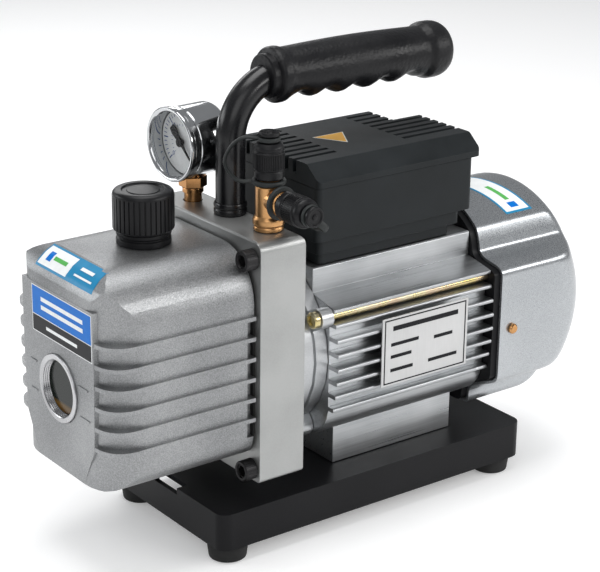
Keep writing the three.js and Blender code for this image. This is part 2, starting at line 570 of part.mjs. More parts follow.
function coolingFan() {
  const blades = Array.from({ length: 9 }, (_, i) => {
    const blade = block([-7, 7], [7, 38], [-0.9, 0.9]).rotateY(0.35).rotateX((i * 2 * Math.PI) / 9);
    return blade.translate(165, 0, SHAFT_Z);
  });
  const hub = disc(9.5, 'x', 157, 174, [0, 0, SHAFT_Z], 14);
  return cut(join(hub, disc(37, 'x', 157, 158.6, [0, 0, SHAFT_Z], 18), ...blades),
    disc(SHAFT_RADIUS - 0.7, 'x', 150, 180, [0, 0, SHAFT_Z], 16));
}
add('cooling_fan', coolingFan(), blackPaint);

const mainShaft = turned([[0, -30.4], [4, -30.4], [4, -4.5], [SHAFT_RADIUS, -4.5], [SHAFT_RADIUS, 150],
  [5, 150], [5, 176], [0, 176]], 'x', [0, 0, SHAFT_Z], 18);

// ---------- pump module in the oil ----------
function pumpCylinder() {
  const cylinderZ = SHAFT_Z - BORE.eccentric;
  const body = disc(BORE.outerRadius, 'x', -49.2, -1.8, [0, 0, cylinderZ], 20);
  const bores = STAGES.map(({ front, rear }) =>
    disc(BORE.radius, 'x', front - 0.6, rear + 0.6, [0, 0, cylinderZ], 24));
  bores.push(disc(BORE.radius, 'x', -60, STAGES[0].front, [0, 0, cylinderZ], 24));
  const ports = STAGES.map(({ front, rear }) => disc(3, 'z', 0, 40, [(front + rear) / 2, 12, cylinderZ], 8));
  return cut(body, ...bores, ...ports, disc(SHAFT_RADIUS + GAP, 'x', -60, 10, [0, 0, SHAFT_Z], 14));
}
add('pump_cylinder', pumpCylinder(), castIron);
add('pump_end_plate', disc(BORE.outerRadius, 'x', -55, -49.5, [0, 0, SHAFT_Z - BORE.eccentric], 20), castIron);

function vaneSlot(front, rear, side) {
  const reach = [side * (VANE.tip - VANE.length - 0.4), side * 25].sort((a, b) => a - b);
  return block([front - 1, rear + 1], reach, [-VANE.thickness / 2 - 0.15, VANE.thickness / 2 + 0.15])
    .translate(0, 0, SHAFT_Z);
}

function pumpRotor() {
  const drums = STAGES.map(({ front, rear }) => disc(ROTOR_RADIUS, 'x', front, rear, [0, 0, SHAFT_Z], 20));
  const neck = disc(5.6, 'x', STAGES[0].rear - 1, STAGES[1].front + 1, [0, 0, SHAFT_Z], 18);
  const slots = STAGES.flatMap(({ front, rear }) => [vaneSlot(front, rear, -1), vaneSlot(front, rear, 1)]);
  return cut(join(...drums, neck), ...slots, disc(4.3, 'x', -30.7, 0, [0, 0, SHAFT_Z], 16));
}
add('pump_rotor', pumpRotor(), castIron);
add('main_shaft', mainShaft, steel);

STAGES.forEach(({ front, rear }, stage) => {
  [-1, 1].forEach((side, i) => {
    const reach = [side * (VANE.tip - VANE.length), side * VANE.tip].sort((a, b) => a - b);
    const vane = block([front + 0.2, rear - 0.2], reach, [-VANE.thickness / 2, VANE.thickness / 2]);
    add(`vane_${stage * 2 + i + 1}`, vane, vaneCarbon, [0, 0, SHAFT_Z]);
  });
});

// ---------- electric box ----------
function electricBox() {
  const { front, rear, halfWidth, bottom, top, skirtInset, wall } = BOX;
  const outside = join(
    roundedBox([front, rear], halfWidth, [bottom, top], 3),
    roundedBox([front + skirtInset, rear - skirtInset], halfWidth - skirtInset, [137, bottom + 1], 3),
    roundedBox([front + 7, rear - 7], 29, [130.8, 138], 3),
  );
  const inletHole = block([INLET.x - 12.4, INLET.x + 12.4], [20, 45], [INLET.z - 8.4, INLET.z + 8.4]);
  return cut(
    outside,
    roundedBox([front + wall, rear - wall], halfWidth - wall, [147.4, top + 2], 1.5),
    roundedBox([front + 10, rear - 10], 26, [133.3, 150], 1.5),
    inletHole,
  );
}
add('electric_box', electricBox(), charcoal);

function boxLid() {
  const { front, rear, rim, shoulder, top, topHalfWidth } = LID;
  const rimHalf = BOX.halfWidth + 1;
  const roof = mirrorFirst([[topHalfWidth - 1, top], [topHalfWidth, top - 0.3], [rimHalf, shoulder],
    [rimHalf, rim]]);
  const hollow = mirrorFirst([[topHalfWidth - 2.4, top - 2.5], [rimHalf - 3.4, shoulder - 0.6],
    [rimHalf - 3.4, rim - 1]]);
  const grooves = [];
  for (let i = 0; i < LID_GROOVE.count; i += 1) {
    const y = LID_GROOVE.first - i * LID_GROOVE.pitch;
    const width = [y - LID_GROOVE.width / 2, y + LID_GROOVE.width / 2];
    const height = [top - LID_GROOVE.depth, top + 2];
    grooves.push(block([front + 1.8, LID_GROOVE.frontEnd], width, height));
    grooves.push(block([front - 2, front + 1.8], width, [shoulder + 1, top + 2]));
    grooves.push(block([LID_GROOVE.rearStart, rear + 2], width, height));
  }
  const outside = common(prism(roof, 'x', front, rear), roundedBox([front, rear], rimHalf, [rim - 1, top + 1], 2.4));
  const ledge = ROCKER.z + 0.4;
  const notch = block([120.6, rear + 3], [9, rimHalf + 3], [ledge, top + 3]);
  const shelf = block([119, rear - 0.2], [7, rimHalf - 0.2], [rim, ledge]);
  const notchWalls = join(
    block([118.2, 120.4], [7, 35], [rim + 0.2, top - 2]),
    block([118.2, rear - 1], [6.6, 8.8], [rim + 0.2, top - 2]),
  );
  const rockerHole = block(
    [ROCKER.x - ROCKER.halfWidth - 0.4, ROCKER.x + ROCKER.halfWidth + 0.4],
    [ROCKER.y - 9.7, ROCKER.y + 9.7],
    [rim - 2, top + 3],
  );
  const shell = cut(outside, prism(hollow, 'x', front + 3.4, rear - 3.4), ...grooves);
  const stepped = cut(shell, notch);
  const filling = common(join(shelf, notchWalls), outside);
  return cut(join(stepped, filling), rockerHole);
}
add('box_lid', boxLid(), charcoal);

// Rocker: a shallow vee on top, pressed down at its near end at rest.
const rocker = prism([[-8.4, -1], [-8.4, 2.6], [0, 1.2], [8.4, 2.6], [8.4, -1], [0, -4]],
  'x', -ROCKER.halfWidth, ROCKER.halfWidth).rotateX(THREE.MathUtils.degToRad(-ROCKER.tilt));
add('power_rocker', rocker, blackPaint, [ROCKER.x, ROCKER.y, ROCKER.z]);

function powerInlet() {
  const { x, z, width, height } = INLET;
  const flange = prism(
    [[z - height / 2, x - width / 2], [z + height / 2, x - width / 2], [z + height / 2, x + width / 2],
      [z - height / 2, x + width / 2]], 'y', BOX.halfWidth + GAP, BOX.halfWidth + 2.6);
  const barrel = block([x - 12, x + 12], [21, BOX.halfWidth + 1], [z - 8, z + 8]);
  const socket = block([x - 10.4, x + 10.4], [24, BOX.halfWidth + 5], [z - 6.4, z + 6.4]);
  const pins = [[-7, 1.5], [0, -2], [7, 1.5]].map(([dx, dz]) =>
    block([x + dx - 1, x + dx + 1], [22, 33], [z + dz - 2, z + dz + 2]));
  return join(cut(join(flange, barrel), socket), ...pins);
}
add('power_inlet', powerInlet(), blackPaint);

const capacitor = turned([[0, 0], [13.4, 0], [14, 0.6], [14, 46], [13, 47], [0, 47]], 'x', [0, 0, 0], 18);
add('run_capacitor', capacitor, finish(0xd8d8d4, 0.5, 0), [52, -14, 162 - 0.6]);

// ---------- base ----------
function baseTray() {
  const { front, rear, halfWidth, bottom, top, wall } = TRAY;
  const outside = roundedBox([front, rear], halfWidth, [bottom, top], 6);
  const hollow = roundedBox([front + wall, rear - wall], halfWidth - wall, [bottom - 1, top - wall], 4);
  const bosses = footPlaces.map(([x, y]) => disc(FOOT.radius - 0.5, 'z', bottom, top - 1, [x, y, 0], 16));
  const notch = block([front - 2, front + 6], [-10, 10], [top - 3.5, top + 2]);
  return join(cut(outside, hollow, notch), common(join(...bosses), outside));
}
const footPlaces = [TRAY.front + FOOT.inset, TRAY.rear - FOOT.rearInset]
  .flatMap((x) => [-1, 1].map((side) => [x, side * (TRAY.halfWidth - FOOT.inset)]));
add('base_tray', baseTray(), blackPaint);

const foot = turned([[0, 0], [FOOT.bottomRadius - 0.8, 0], [FOOT.bottomRadius, 0.8],
  [FOOT.radius, TRAY.bottom - GAP], [0, TRAY.bottom - GAP]], 'z', [0, 0, 0], 18);
footPlaces.forEach(([x, y], i) => add(`foot_${i + 1}`, foot, blackRubber, [x, y, 0]));

// ---------- origin at the middle of the footprint, on the floor ----------
pump.updateMatrixWorld(true);
const middle = new THREE.Box3().setFromObject(pump, true).getCenter(vector());
pump.position.set(-middle.x, -middle.y, 0);

export default pump;
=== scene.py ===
import json
import math

import bpy
from mathutils import Matrix, Vector


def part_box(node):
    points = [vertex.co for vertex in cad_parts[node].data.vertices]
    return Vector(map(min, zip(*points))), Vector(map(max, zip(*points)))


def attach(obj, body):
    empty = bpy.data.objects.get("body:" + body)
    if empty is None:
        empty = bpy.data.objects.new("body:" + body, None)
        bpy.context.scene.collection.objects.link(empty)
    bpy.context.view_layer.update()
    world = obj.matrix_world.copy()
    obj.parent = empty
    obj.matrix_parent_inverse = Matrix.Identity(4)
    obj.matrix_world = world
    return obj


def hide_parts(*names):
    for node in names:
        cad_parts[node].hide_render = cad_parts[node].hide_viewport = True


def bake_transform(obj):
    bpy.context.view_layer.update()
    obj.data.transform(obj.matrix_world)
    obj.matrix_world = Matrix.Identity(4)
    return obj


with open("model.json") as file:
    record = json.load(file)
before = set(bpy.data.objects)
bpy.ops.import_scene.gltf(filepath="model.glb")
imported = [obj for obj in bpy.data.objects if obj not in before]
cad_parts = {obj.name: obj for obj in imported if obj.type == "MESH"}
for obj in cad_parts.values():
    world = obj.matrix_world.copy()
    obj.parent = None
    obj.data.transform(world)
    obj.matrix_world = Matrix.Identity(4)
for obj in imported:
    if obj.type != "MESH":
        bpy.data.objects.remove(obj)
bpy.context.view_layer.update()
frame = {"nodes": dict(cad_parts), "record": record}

# ---------------------------------------------------------------- studio
# The pump stands on a plain pale sweep under three soft boxes, seen from its
# intake side. Places are given in millimetres from the bracket plate's front
# face and the shaft's plane, as the pump is laid out on the drawing.
MM = 0.001
plate_low, plate_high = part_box("bracket_plate")
FACE_X = plate_low.x
MID_Y = (plate_low.y + plate_high.y) / 2
SHAFT_Z = 88


def spot(x, y, z):
    return Vector((FACE_X + x * MM, MID_Y + y * MM, z * MM))


def aim(thing, target, roll=0.0):
    back = (thing.location - target).normalized()
    right = Vector((0, 0, 1)).cross(back).normalized()
    up = back.cross(right)
    tilt = math.radians(roll)
    across = right * math.cos(tilt) + up * math.sin(tilt)
    upward = up * math.cos(tilt) - right * math.sin(tilt)
    axes = Matrix((across, upward, back)).transposed()
    thing.rotation_euler = axes.to_euler()


camera = bpy.data.objects.new("camera", bpy.data.cameras.new("camera"))
bpy.context.scene.collection.objects.link(camera)
camera.location = spot(-471.5, -700.2, 430.8)
camera.data.lens = 114.57
camera.data.clip_end = 20
aim(camera, spot(56.83, 0, 109.2), roll=0.74)
bpy.context.scene.camera = camera


def soft_box(name, place, target, size, power, colour=(1, 1, 1)):
    lamp = bpy.data.objects.new(name, bpy.data.lights.new(name, "AREA"))
    bpy.context.scene.collection.objects.link(lamp)
    lamp.data.shape = "RECTANGLE"
    lamp.data.size, lamp.data.size_y = size
    lamp.data.energy = power
    lamp.data.color = colour
    lamp.location = place
    aim(lamp, target)


centre = spot(60, 0, 110)
soft_box("overhead_box", spot(40, 60, 1150), centre, (0.9, 0.6), 8)
soft_box("ridge_box", spot(850, -950, 640), centre, (1.5, 0.26), 10, (1, 0.995, 0.985))
soft_box("brow_box", spot(-840, 900, 480), centre, (0.9, 0.3), 3.5, (0.97, 0.99, 1))
soft_box("fill_box", spot(-700, -800, 800), centre, (0.8, 0.8), 3)
soft_box("far_box", spot(300, 1100, 700), centre, (0.9, 0.4), 3)

bpy.ops.object.select_all(action="DESELECT")
bpy.ops.mesh.primitive_plane_add(size=12, location=(0, 0, -0.0002))
floor = bpy.context.object
floor.name = "studio_floor"

# ---------------------------------------------------------------- base tray
# One black powder-coated tray, pressed from sheet with rounded corners and a
# rolled rim, open underneath. The motor's foot and the plate bolt down to it.


class Link:
    """A shader socket that takes part in sums, as a number would."""

    def __init__(self, paint, socket):
        self.paint, self.socket = paint, socket

    def math(self, operation, other):
        return self.paint.node("ShaderNodeMath", {"operation": operation}, {0: self, 1: other})

    def __add__(self, other):
        return self.math("ADD", other)

    def __mul__(self, other):
        return self.math("MULTIPLY", other)

    __radd__ = __add__
    __rmul__ = __mul__


class Paint:
    """A material and its shader, built node by node."""

    def __init__(self, name, **sockets):
        self.material = bpy.data.materials.new(name)
        self.material.use_nodes = True
        self.tree = self.material.node_tree
        self.shader = self.tree.nodes["Principled BSDF"]
        self.set(**sockets)

    def set(self, **sockets):
        for key, value in sockets.items():
            self.feed(self.shader.inputs[key.replace("_", " ").title().replace("Ior", "IOR")], value)
        return self

    def feed(self, socket, value):
        if isinstance(value, Link):
            self.tree.links.new(value.socket, socket)
        elif socket.type == "RGBA":
            socket.default_value = (*value[:3], 1)
        else:
            socket.default_value = value

    def node(self, kind, settings, inputs, output=0):
        made = self.tree.nodes.new(kind)
        for key, value in settings.items():
            setattr(made, key, value)
        for key, value in inputs.items():
            self.feed(made.inputs[key], value)
        return Link(self, made.outputs[output])

    def place(self, scale=(1, 1, 1)):
        coordinates = self.node("ShaderNodeTexCoord", {}, {}, "Object")
        return self.node("ShaderNodeMapping", {}, {"Vector": coordinates, "Scale": scale})

    def noise(self, scale, detail=2.0, roughness=0.5, stretch=(1, 1, 1)):
        return self.node("ShaderNodeTexNoise", {}, {"Vector": self.place(stretch), "Scale": scale,
                                                    "Detail": detail, "Roughness": roughness})

    def cells(self, scale, feature="F1"):
        return self.node("ShaderNodeTexVoronoi", {"feature": feature},
                         {"Vector": self.place(), "Scale": scale}, "Distance")

    def spread(self, value, low, high, to_low=0.0, to_high=1.0):
        return self.node("ShaderNodeMapRange", {}, {"Value": value, "From Min": low, "From Max": high,
                                                    "To Min": to_low, "To Max": to_high})

    def mix(self, factor, first, second):
        made = self.tree.nodes.new("ShaderNodeMix")
        made.data_type = "RGBA"
        for index, value in ((0, factor), (6, first), (7, second)):
            self.feed(made.inputs[index], value)
        return Link(self, made.outputs[2])

    def bump(self, height, strength, distance):
        return self.node("ShaderNodeBump", {}, {"Strength": strength, "Distance": distance, "Height": height})


def grainy(name, dark, light, roughness, metallic=0.0, grain=900, depth=0.05, gloss=0.5, patch=18):
    """A finish whose tone and gloss drift a little, over a fine all-over grain."""
    paint = Paint(name, metallic=metallic, specular_ior_level=gloss)
    drift = paint.spread(paint.noise(patch, 3), 0.3, 0.7)
    fine = paint.noise(grain, 3, 0.6)
    paint.set(base_color=paint.mix(paint.spread(drift * 0.6 + fine * 0.5, 0.2, 0.8), dark, light),
              roughness=paint.spread(drift * 0.5 + fine * 0.5, 0.2, 0.8, roughness - 0.06, roughness + 0.07),
              normal=paint.bump(fine, 0.5, depth * MM))
    return paint.material


def clear_selection():
    if bpy.context.object and bpy.context.object.mode != "OBJECT":
        bpy.ops.object.mode_set(mode="OBJECT")
    bpy.ops.object.select_all(action="DESELECT")


def take(piece):
    clear_selection()
    piece.select_set(True)
    bpy.context.view_layer.objects.active = piece


def edit_all():
    bpy.ops.object.mode_set(mode="EDIT")
    bpy.ops.mesh.select_all(action="SELECT")


def ease(piece, bevel, angle=32, segments=2):
    """Breaks the sharp edges by a bevel in millimetres and shades the rounds smooth."""
    take(piece)
    if bevel:
        modifier = piece.modifiers.new("broken_edges", "BEVEL")
        modifier.width = bevel * MM
        modifier.segments = segments
        modifier.limit_method = "ANGLE"
        modifier.angle_limit = math.radians(angle)
        bpy.ops.object.modifier_apply(modifier=modifier.name)
    bpy.ops.object.shade_smooth_by_angle(angle=math.radians(angle))
    weighted = piece.modifiers.new("weighted", "WEIGHTED_NORMAL")
    weighted.keep_sharp = True
    bpy.ops.object.modifier_apply(modifier=weighted.name)


def settle(piece, body, slot, material, *nodes):
    """Fixes a piece's place in its mesh, dresses it and lets it ride on its body."""
    take(piece)
    bpy.ops.object.transform_apply(location=True, rotation=True, scale=True)
    piece.data.materials.clear()
    piece.data.materials.append(material)
    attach(piece, body)
    if nodes:
        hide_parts(*nodes)
    return piece


SLOTS = {row["node"]: row["material_slot"] for row in frame["record"]["subparts"]}
BODIES = {node: body for body, nodes in frame["record"]["behaviour"]["bodies"].items() for node in nodes}


def copy_of(node, name):
    source = frame["nodes"][node]
    piece = bpy.data.objects.new(name, source.data.copy())
    bpy.context.scene.collection.objects.link(piece)
    take(piece)
    edit_all()
    bpy.ops.mesh.remove_doubles(threshold=0.004 * MM)
    bpy.ops.mesh.dissolve_limited(angle_limit=math.radians(0.6))
    bpy.ops.object.mode_set(mode="OBJECT")
    return piece


def dressed(node, material, bevel=0.4, angle=32, segments=2):
    """The node's own shape as one clean skin with eased edges."""
    piece = copy_of(node, f"{node}_skin")
    ease(piece, bevel, angle, segments)
    return settle(piece, BODIES[node], SLOTS[node], material, node)


def finish_node(node, material):
    mesh = frame["nodes"][node].data
    mesh.materials.clear()
    mesh.materials.append(material)


powder_black = grainy("powder_black", (0.005, 0.005, 0.006), (0.010, 0.010, 0.011), 0.4, 0, 1400, 0.06, 0.14)
dressed("base_tray", powder_black, 1.3, 50, 4)

# ---------------------------------------------------------------- feet
# Four moulded rubber feet, slightly tapered, with a rounded tread edge. Each
# is held by a screw up its middle, so its underside is cupped.


def turned(name, profile, axis, place, steps=48):
    """Turns (radius, distance) steps about an axis; both ends close flat, or meet if they are alike."""
    through = profile[0] == profile[-1]
    clear_selection()
    radius, start = profile[0]
    bpy.ops.mesh.primitive_circle_add(vertices=steps, radius=radius * MM, location=(0, 0, start * MM),
                                      fill_type="NOTHING" if through else "NGON", enter_editmode=True)
    piece = bpy.context.object
    bpy.ops.mesh.select_mode(type="VERT")
    bpy.ops.mesh.select_all(action="SELECT")
    height = start
    for wide, along in profile[1:]:
        bpy.ops.mesh.extrude_region_move(TRANSFORM_OT_translate={"value": (0, 0, (along - height) * MM)})
        bpy.ops.transform.resize(value=(wide / radius, wide / radius, 1), center_override=(0, 0, along * MM))
        radius, height = wide, along
    bpy.ops.mesh.select_all(action="SELECT")
    if through:
        bpy.ops.mesh.remove_doubles(threshold=0.002 * MM)
    bpy.ops.mesh.normals_make_consistent(inside=False)
    bpy.ops.object.mode_set(mode="OBJECT")
    piece.name = name
    turns = {"z": Matrix.Identity(4), "x": Matrix.Rotation(math.pi / 2, 4, "Y"),
             "-y": Matrix.Rotation(math.pi / 2, 4, "X")}
    piece.matrix_world = Matrix.Translation(place) @ turns[axis] @ piece.matrix_world
    bpy.ops.object.transform_apply(location=True, rotation=True, scale=True)
    return piece


def rubber_finish(name, tone, roughness):
    paint = Paint(name, specular_ior_level=0.25)
    dust = paint.noise(60, 4, 0.6)
    fine = paint.noise(2200, 2)
    paint.set(base_color=paint.mix(paint.spread(dust, 0.4, 0.75), tone, tuple(c * 2.1 for c in tone)),
              roughness=paint.spread(dust, 0.2, 0.8, roughness - 0.08, roughness + 0.1),
              normal=paint.bump(fine, 0.35, 0.04 * MM))
    return paint.material


rubber = rubber_finish("black_rubber", (0.012, 0.012, 0.012), 0.7)
for number in range(1, 5):
    low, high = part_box(f"foot_{number}")
    tall = high.z / MM
    middle = Vector(((low.x + high.x) / 2, (low.y + high.y) / 2, 0))
    tread = [
        (3.2, 2.4), (4.6, 2.2), (5.2, 0), (8.3, 0), (8.9, 0.3), (9.1, 1), (9.8, tall - 0.9),
        (9.5, tall - 0.2), (9.2, tall)
    ]
    foot = turned(f"foot_{number}_moulding", tread, "z", middle)
    ease(foot, 0.25)
    settle(foot, "root", "black_rubber", rubber, f"foot_{number}")

# ---------------------------------------------------------------- bracket plate
# A thick upright plate, cast flat and ground matt, that everything bolts to.
# Its top carries the gauge, the handle and the intake.


def machined(name, dark, light, roughness, stretch, metallic=1.0, depth=0.015):
    """Bare metal with fine tool marks drawn out along one direction, and faint handling marks."""
    paint = Paint(name, metallic=metallic)
    marks = paint.noise(420, 4, 0.65, stretch)
    smears = paint.spread(paint.noise(24, 4, 0.6), 0.35, 0.75)
    paint.set(base_color=paint.mix(paint.spread(marks * 0.5 + smears * 0.5, 0.2, 0.8), dark, light),
              roughness=paint.spread(marks * 0.4 + smears * 0.6, 0.2, 0.8, roughness - 0.05, roughness + 0.1),
              normal=paint.bump(marks, 0.4, depth * MM))
    return paint.material


plate_metal = grainy("ground_plate", (0.33, 0.335, 0.33), (0.42, 0.425, 0.42), 0.45, 0.85, 1500, 0.05,
                     patch=30)
dressed("bracket_plate", plate_metal, 0.7, 32, 3)
finish_node("casing_gasket", rubber)

# ---------------------------------------------------------------- casing screws
# M6 socket cap screws in black oxide: a knurled head, a hexagon socket and a
# plain shank that goes through the plate into the motor's front shield.


def pick_faces(piece, test):
    """Opens a piece for editing with the faces that pass a test on centre and normal selected."""
    take(piece)
    bpy.ops.object.mode_set(mode="EDIT")
    bpy.ops.mesh.select_mode(type="FACE")
    bpy.ops.mesh.select_all(action="DESELECT")
    bpy.ops.object.mode_set(mode="OBJECT")
    for face in piece.data.polygons:
        face.select = test(face.center, face.normal)
    bpy.ops.object.mode_set(mode="EDIT")


def flute(piece, low, high, steps, every, rim, depth):
    """Presses every few side faces of an upright turned piece inwards, between two heights."""
    def chosen(middle, normal):
        turn = math.atan2(middle.y, middle.x) / (2 * math.pi) * steps
        return low * MM < middle.z < high * MM and abs(normal.z) < 0.3 and math.floor(turn) % every == 0
    pick_faces(piece, chosen)
    bpy.ops.mesh.inset(thickness=rim * MM, depth=-depth * MM, use_individual=True)
    bpy.ops.object.mode_set(mode="OBJECT")


def tip_over(piece, turn, place):
    """Turns a piece that was made upright, and moves it to its place."""
    take(piece)
    piece.matrix_world = Matrix.Translation(place) @ turn
    bpy.ops.object.transform_apply(location=True, rotation=True, scale=True)


black_oxide = grainy("black_oxide", (0.010, 0.010, 0.011), (0.030, 0.029, 0.030), 0.36, 0.75, 1800, 0.03)
TO_X = Matrix.Rotation(math.pi / 2, 4, "Y")
for number in range(1, 5):
    low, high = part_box(f"casing_screw_{number}")
    seat = Vector((low.x + 0.5 * MM, (low.y + high.y) / 2, (low.z + high.z) / 2))
    screw_profile = [
        (3.3, 0.3), (3.4, -0.45), (4.5, -0.5), (4.95, -0.1), (5, 0.4), (5, 5.9), (4.9, 6),
        (2.7, 6), (2.7, 24)
    ]
    screw = turned(f"cap_screw_{number}", screw_profile, "z", Vector((0, 0, 0)), 60)
    flute(screw, 0.6, 5.6, 60, 2, 0.05, 0.12)
    ease(screw, 0.1)
    clear_selection()
    bpy.ops.mesh.primitive_cylinder_add(vertices=6, radius=2.9 * MM, depth=6 * MM, location=(0, 0, 0))
    key = bpy.context.object
    take(screw)
    socket = screw.modifiers.new("socket", "BOOLEAN")
    socket.operation, socket.object, socket.solver = "DIFFERENCE", key, "EXACT"
    bpy.ops.object.modifier_apply(modifier=socket.name)
    bpy.data.objects.remove(key)
    tip_over(screw, TO_X, seat)
    settle(screw, "root", "black_oxide_steel", black_oxide, f"casing_screw_{number}")

# ---------------------------------------------------------------- oil casing
# A high-pressure aluminium casting, shot-blasted bright, with level cooling
# ribs that wrap its front corners. It is open at the back, where it seals on
# a thin gasket against the plate.
casing_metal = Paint("shot_blasted_casting", metallic=0.92)
blast = casing_metal.noise(1700, 3, 0.7)
pits = casing_metal.cells(1100)
cast_drift = casing_metal.spread(casing_metal.noise(14, 3, 0.5), 0.3, 0.7)
casing_metal.set(
    base_color=casing_metal.mix(casing_metal.spread(blast * 0.75 + cast_drift * 0.25, 0.3, 0.72),
                                (0.16, 0.165, 0.17), (0.42, 0.425, 0.43)),
    roughness=casing_metal.spread(blast * 0.6 + pits * 0.6, 0.2, 0.8, 0.3, 0.48),
    normal=casing_metal.bump(blast * 0.7 + pits * 0.4, 0.65, 0.12 * MM))
casing_skin = dressed("oil_casing", casing_metal.material, 0.6, 28, 3)

# ---------------------------------------------------------------- sight glass
# A threaded steel bezel screwed into the casing's front holds a glass disc.
# Behind it the disc is painted near black above the oil, as painted shade for the
# casing's dark inside, and amber oil stands in its lower part, painted lighter
# towards its top as painted light. Short raised bars beside it show the highest
# and the lowest level.
steel = machined("turned_steel", (0.36, 0.36, 0.37), (0.60, 0.60, 0.61), 0.26, (1, 3, 3))
bezel_place = spot(0, 0, 88.4)
thread = []
for turn in range(5):
    thread += [(13.4, -79.2 + turn), (12.9, -78.7 + turn)]
bezel_profile = [
    (15.9, -80.2), (16.2, -79.8), (16.2, -72.5), (11, -72.5), (11, -74.2), (12.9, -74.2),
    *reversed(thread), (13.4, -79.6), (14, -80.1), (15.9, -80.2)
]
bezel = turned("sight_bezel", bezel_profile, "x", bezel_place, 72)
ease(bezel, 0.15)
settle(bezel, "root", "steel", steel, "sight_glass_ring")

oil_glass = Paint("oil_glass", roughness=0.15, coat_weight=0.12, coat_roughness=0.02, specular_ior_level=0.15)
level = oil_glass.node("ShaderNodeSeparateXYZ", {}, {"Vector": oil_glass.place()}, "Z")
wobble = oil_glass.noise(90, 2) * 0.0012
fill = oil_glass.spread(level + wobble, 0.0795, 0.0815)
# painted light: the oil is painted lighter towards its top, as if lit from above
painted_oil_light = oil_glass.spread(level, 0.0755, 0.081)
# painted shade: above the oil level the disc is painted near black for the shaded inside of the casing
oil_glass.set(base_color=oil_glass.mix(fill, oil_glass.mix(painted_oil_light, (0.055, 0.024, 0.004), (0.17, 0.095, 0.022)),
                                       (0.008, 0.011, 0.009)))
lens = turned("sight_lens", [(12.3, -77), (12.7, -76.6), (12.7, -74.5)], "x", bezel_place, 64)
ease(lens, 0.1)
settle(lens, "root", "amber_glass", oil_glass.material, "sight_glass_lens")

LEVEL_MARKS = ((-25.7, -17.4, 95.6), (-26.7, -18.2, 81), (19.8, 25.4, 95), (19.8, 25.4, 80.4))
for number, (start, end, height) in enumerate(LEVEL_MARKS):
    clear_selection()
    bpy.ops.mesh.primitive_cube_add(size=1, location=spot(-79, (start + end) / 2, height))
    mark = bpy.context.object
    mark.name = f"level_mark_{number}"
    mark.scale = (0.9 * MM, (end - start) * MM, 1.1 * MM)
    bpy.ops.object.transform_apply(location=False, rotation=False, scale=True)
    ease(mark, 0.3)
    settle(mark, "root", "die_cast_silver", casing_metal.material)

# ---------------------------------------------------------------- oil cap
# The casing's filler boss takes a black threaded neck, and the knurled cap
# turns down on it over a soft seal.
moulded_black = grainy("moulded_black", (0.005, 0.005, 0.006), (0.010, 0.010, 0.011), 0.34, 0, 1200,
                       0.05, 0.22)
neck_low, neck_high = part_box("filler_neck")
neck_place = Vector(((neck_low.x + neck_high.x) / 2, (neck_low.y + neck_high.y) / 2, 0))
neck_profile = [
    (6.5, 144), (7.7, 144), (7.7, 149.9), (12.6, 149.9), (12.7, 150.2), (12.7, 152.2),
    (12.3, 152.6), (11.7, 152.9), (11.7, 153.4), (12.3, 153.7), (12.7, 154.1), (12.7, 155.4),
    (12.4, 155.7), (10, 155.7), (10, 164), (6.5, 164), (6.5, 144)
]
neck = turned("filler_neck_moulding", neck_profile, "z", neck_place, 64)
ease(neck, 0.12)
settle(neck, "root", "black_plastic", moulded_black, "filler_neck")
finish_node("filler_cap_seal", rubber)

CAP_STEPS = 144
cap_profile = [
    (9, 166.4), (10.4, 166.3), (10.4, 156), (13.3, 156), (13.7, 156.4), (14.2, 157),
    (14.2, 172.4), (13.9, 173.6), (13.2, 174.4), (12.2, 174.9), (10, 174.9), (9.6, 174.5),
    (9.5, 174.1), (7.6, 174.1), (7.4, 174.5), (3, 174.6)
]
cap = turned("oil_cap", cap_profile, "z", Vector((0, 0, 0)), CAP_STEPS)
flute(cap, 158, 172, CAP_STEPS, 4, 0.06, 0.8)
ease(cap, 0.16)
tip_over(cap, Matrix.Identity(4), neck_place)
settle(cap, "oil_cap", "black_plastic", moulded_black, "filler_cap")

bright_steel = machined("bright_plug", (0.42, 0.42, 0.42), (0.62, 0.62, 0.62), 0.3, (1, 1, 4))
dressed("drain_plug", bright_steel, 0.35)

# ---------------------------------------------------------------- casing labels
# Two printed film labels, without wording: a blue and black one on the front
# face over the sight glass, and a white and teal one laid over the top edge.


def film(name, base, roughness=0.3):
    paint = Paint(name, roughness=roughness, specular_ior_level=0.15)
    tone = paint.noise(300, 2)
    paint.set(base_color=paint.mix(paint.spread(tone, 0.3, 0.7), base, tuple(min(1, c * 1.08) for c in base)),
              normal=paint.bump(paint.noise(90, 1), 0.08, 0.05 * MM))
    return paint.material


blue_film = film("blue_film", (0.0, 0.15, 0.55))
black_film = film("black_film", (0.006, 0.006, 0.008))
white_film = film("white_film", (0.80, 0.82, 0.82))
teal_film = film("teal_film", (0.018, 0.22, 0.42))
green_film = film("green_film", (0.10, 0.42, 0.10))


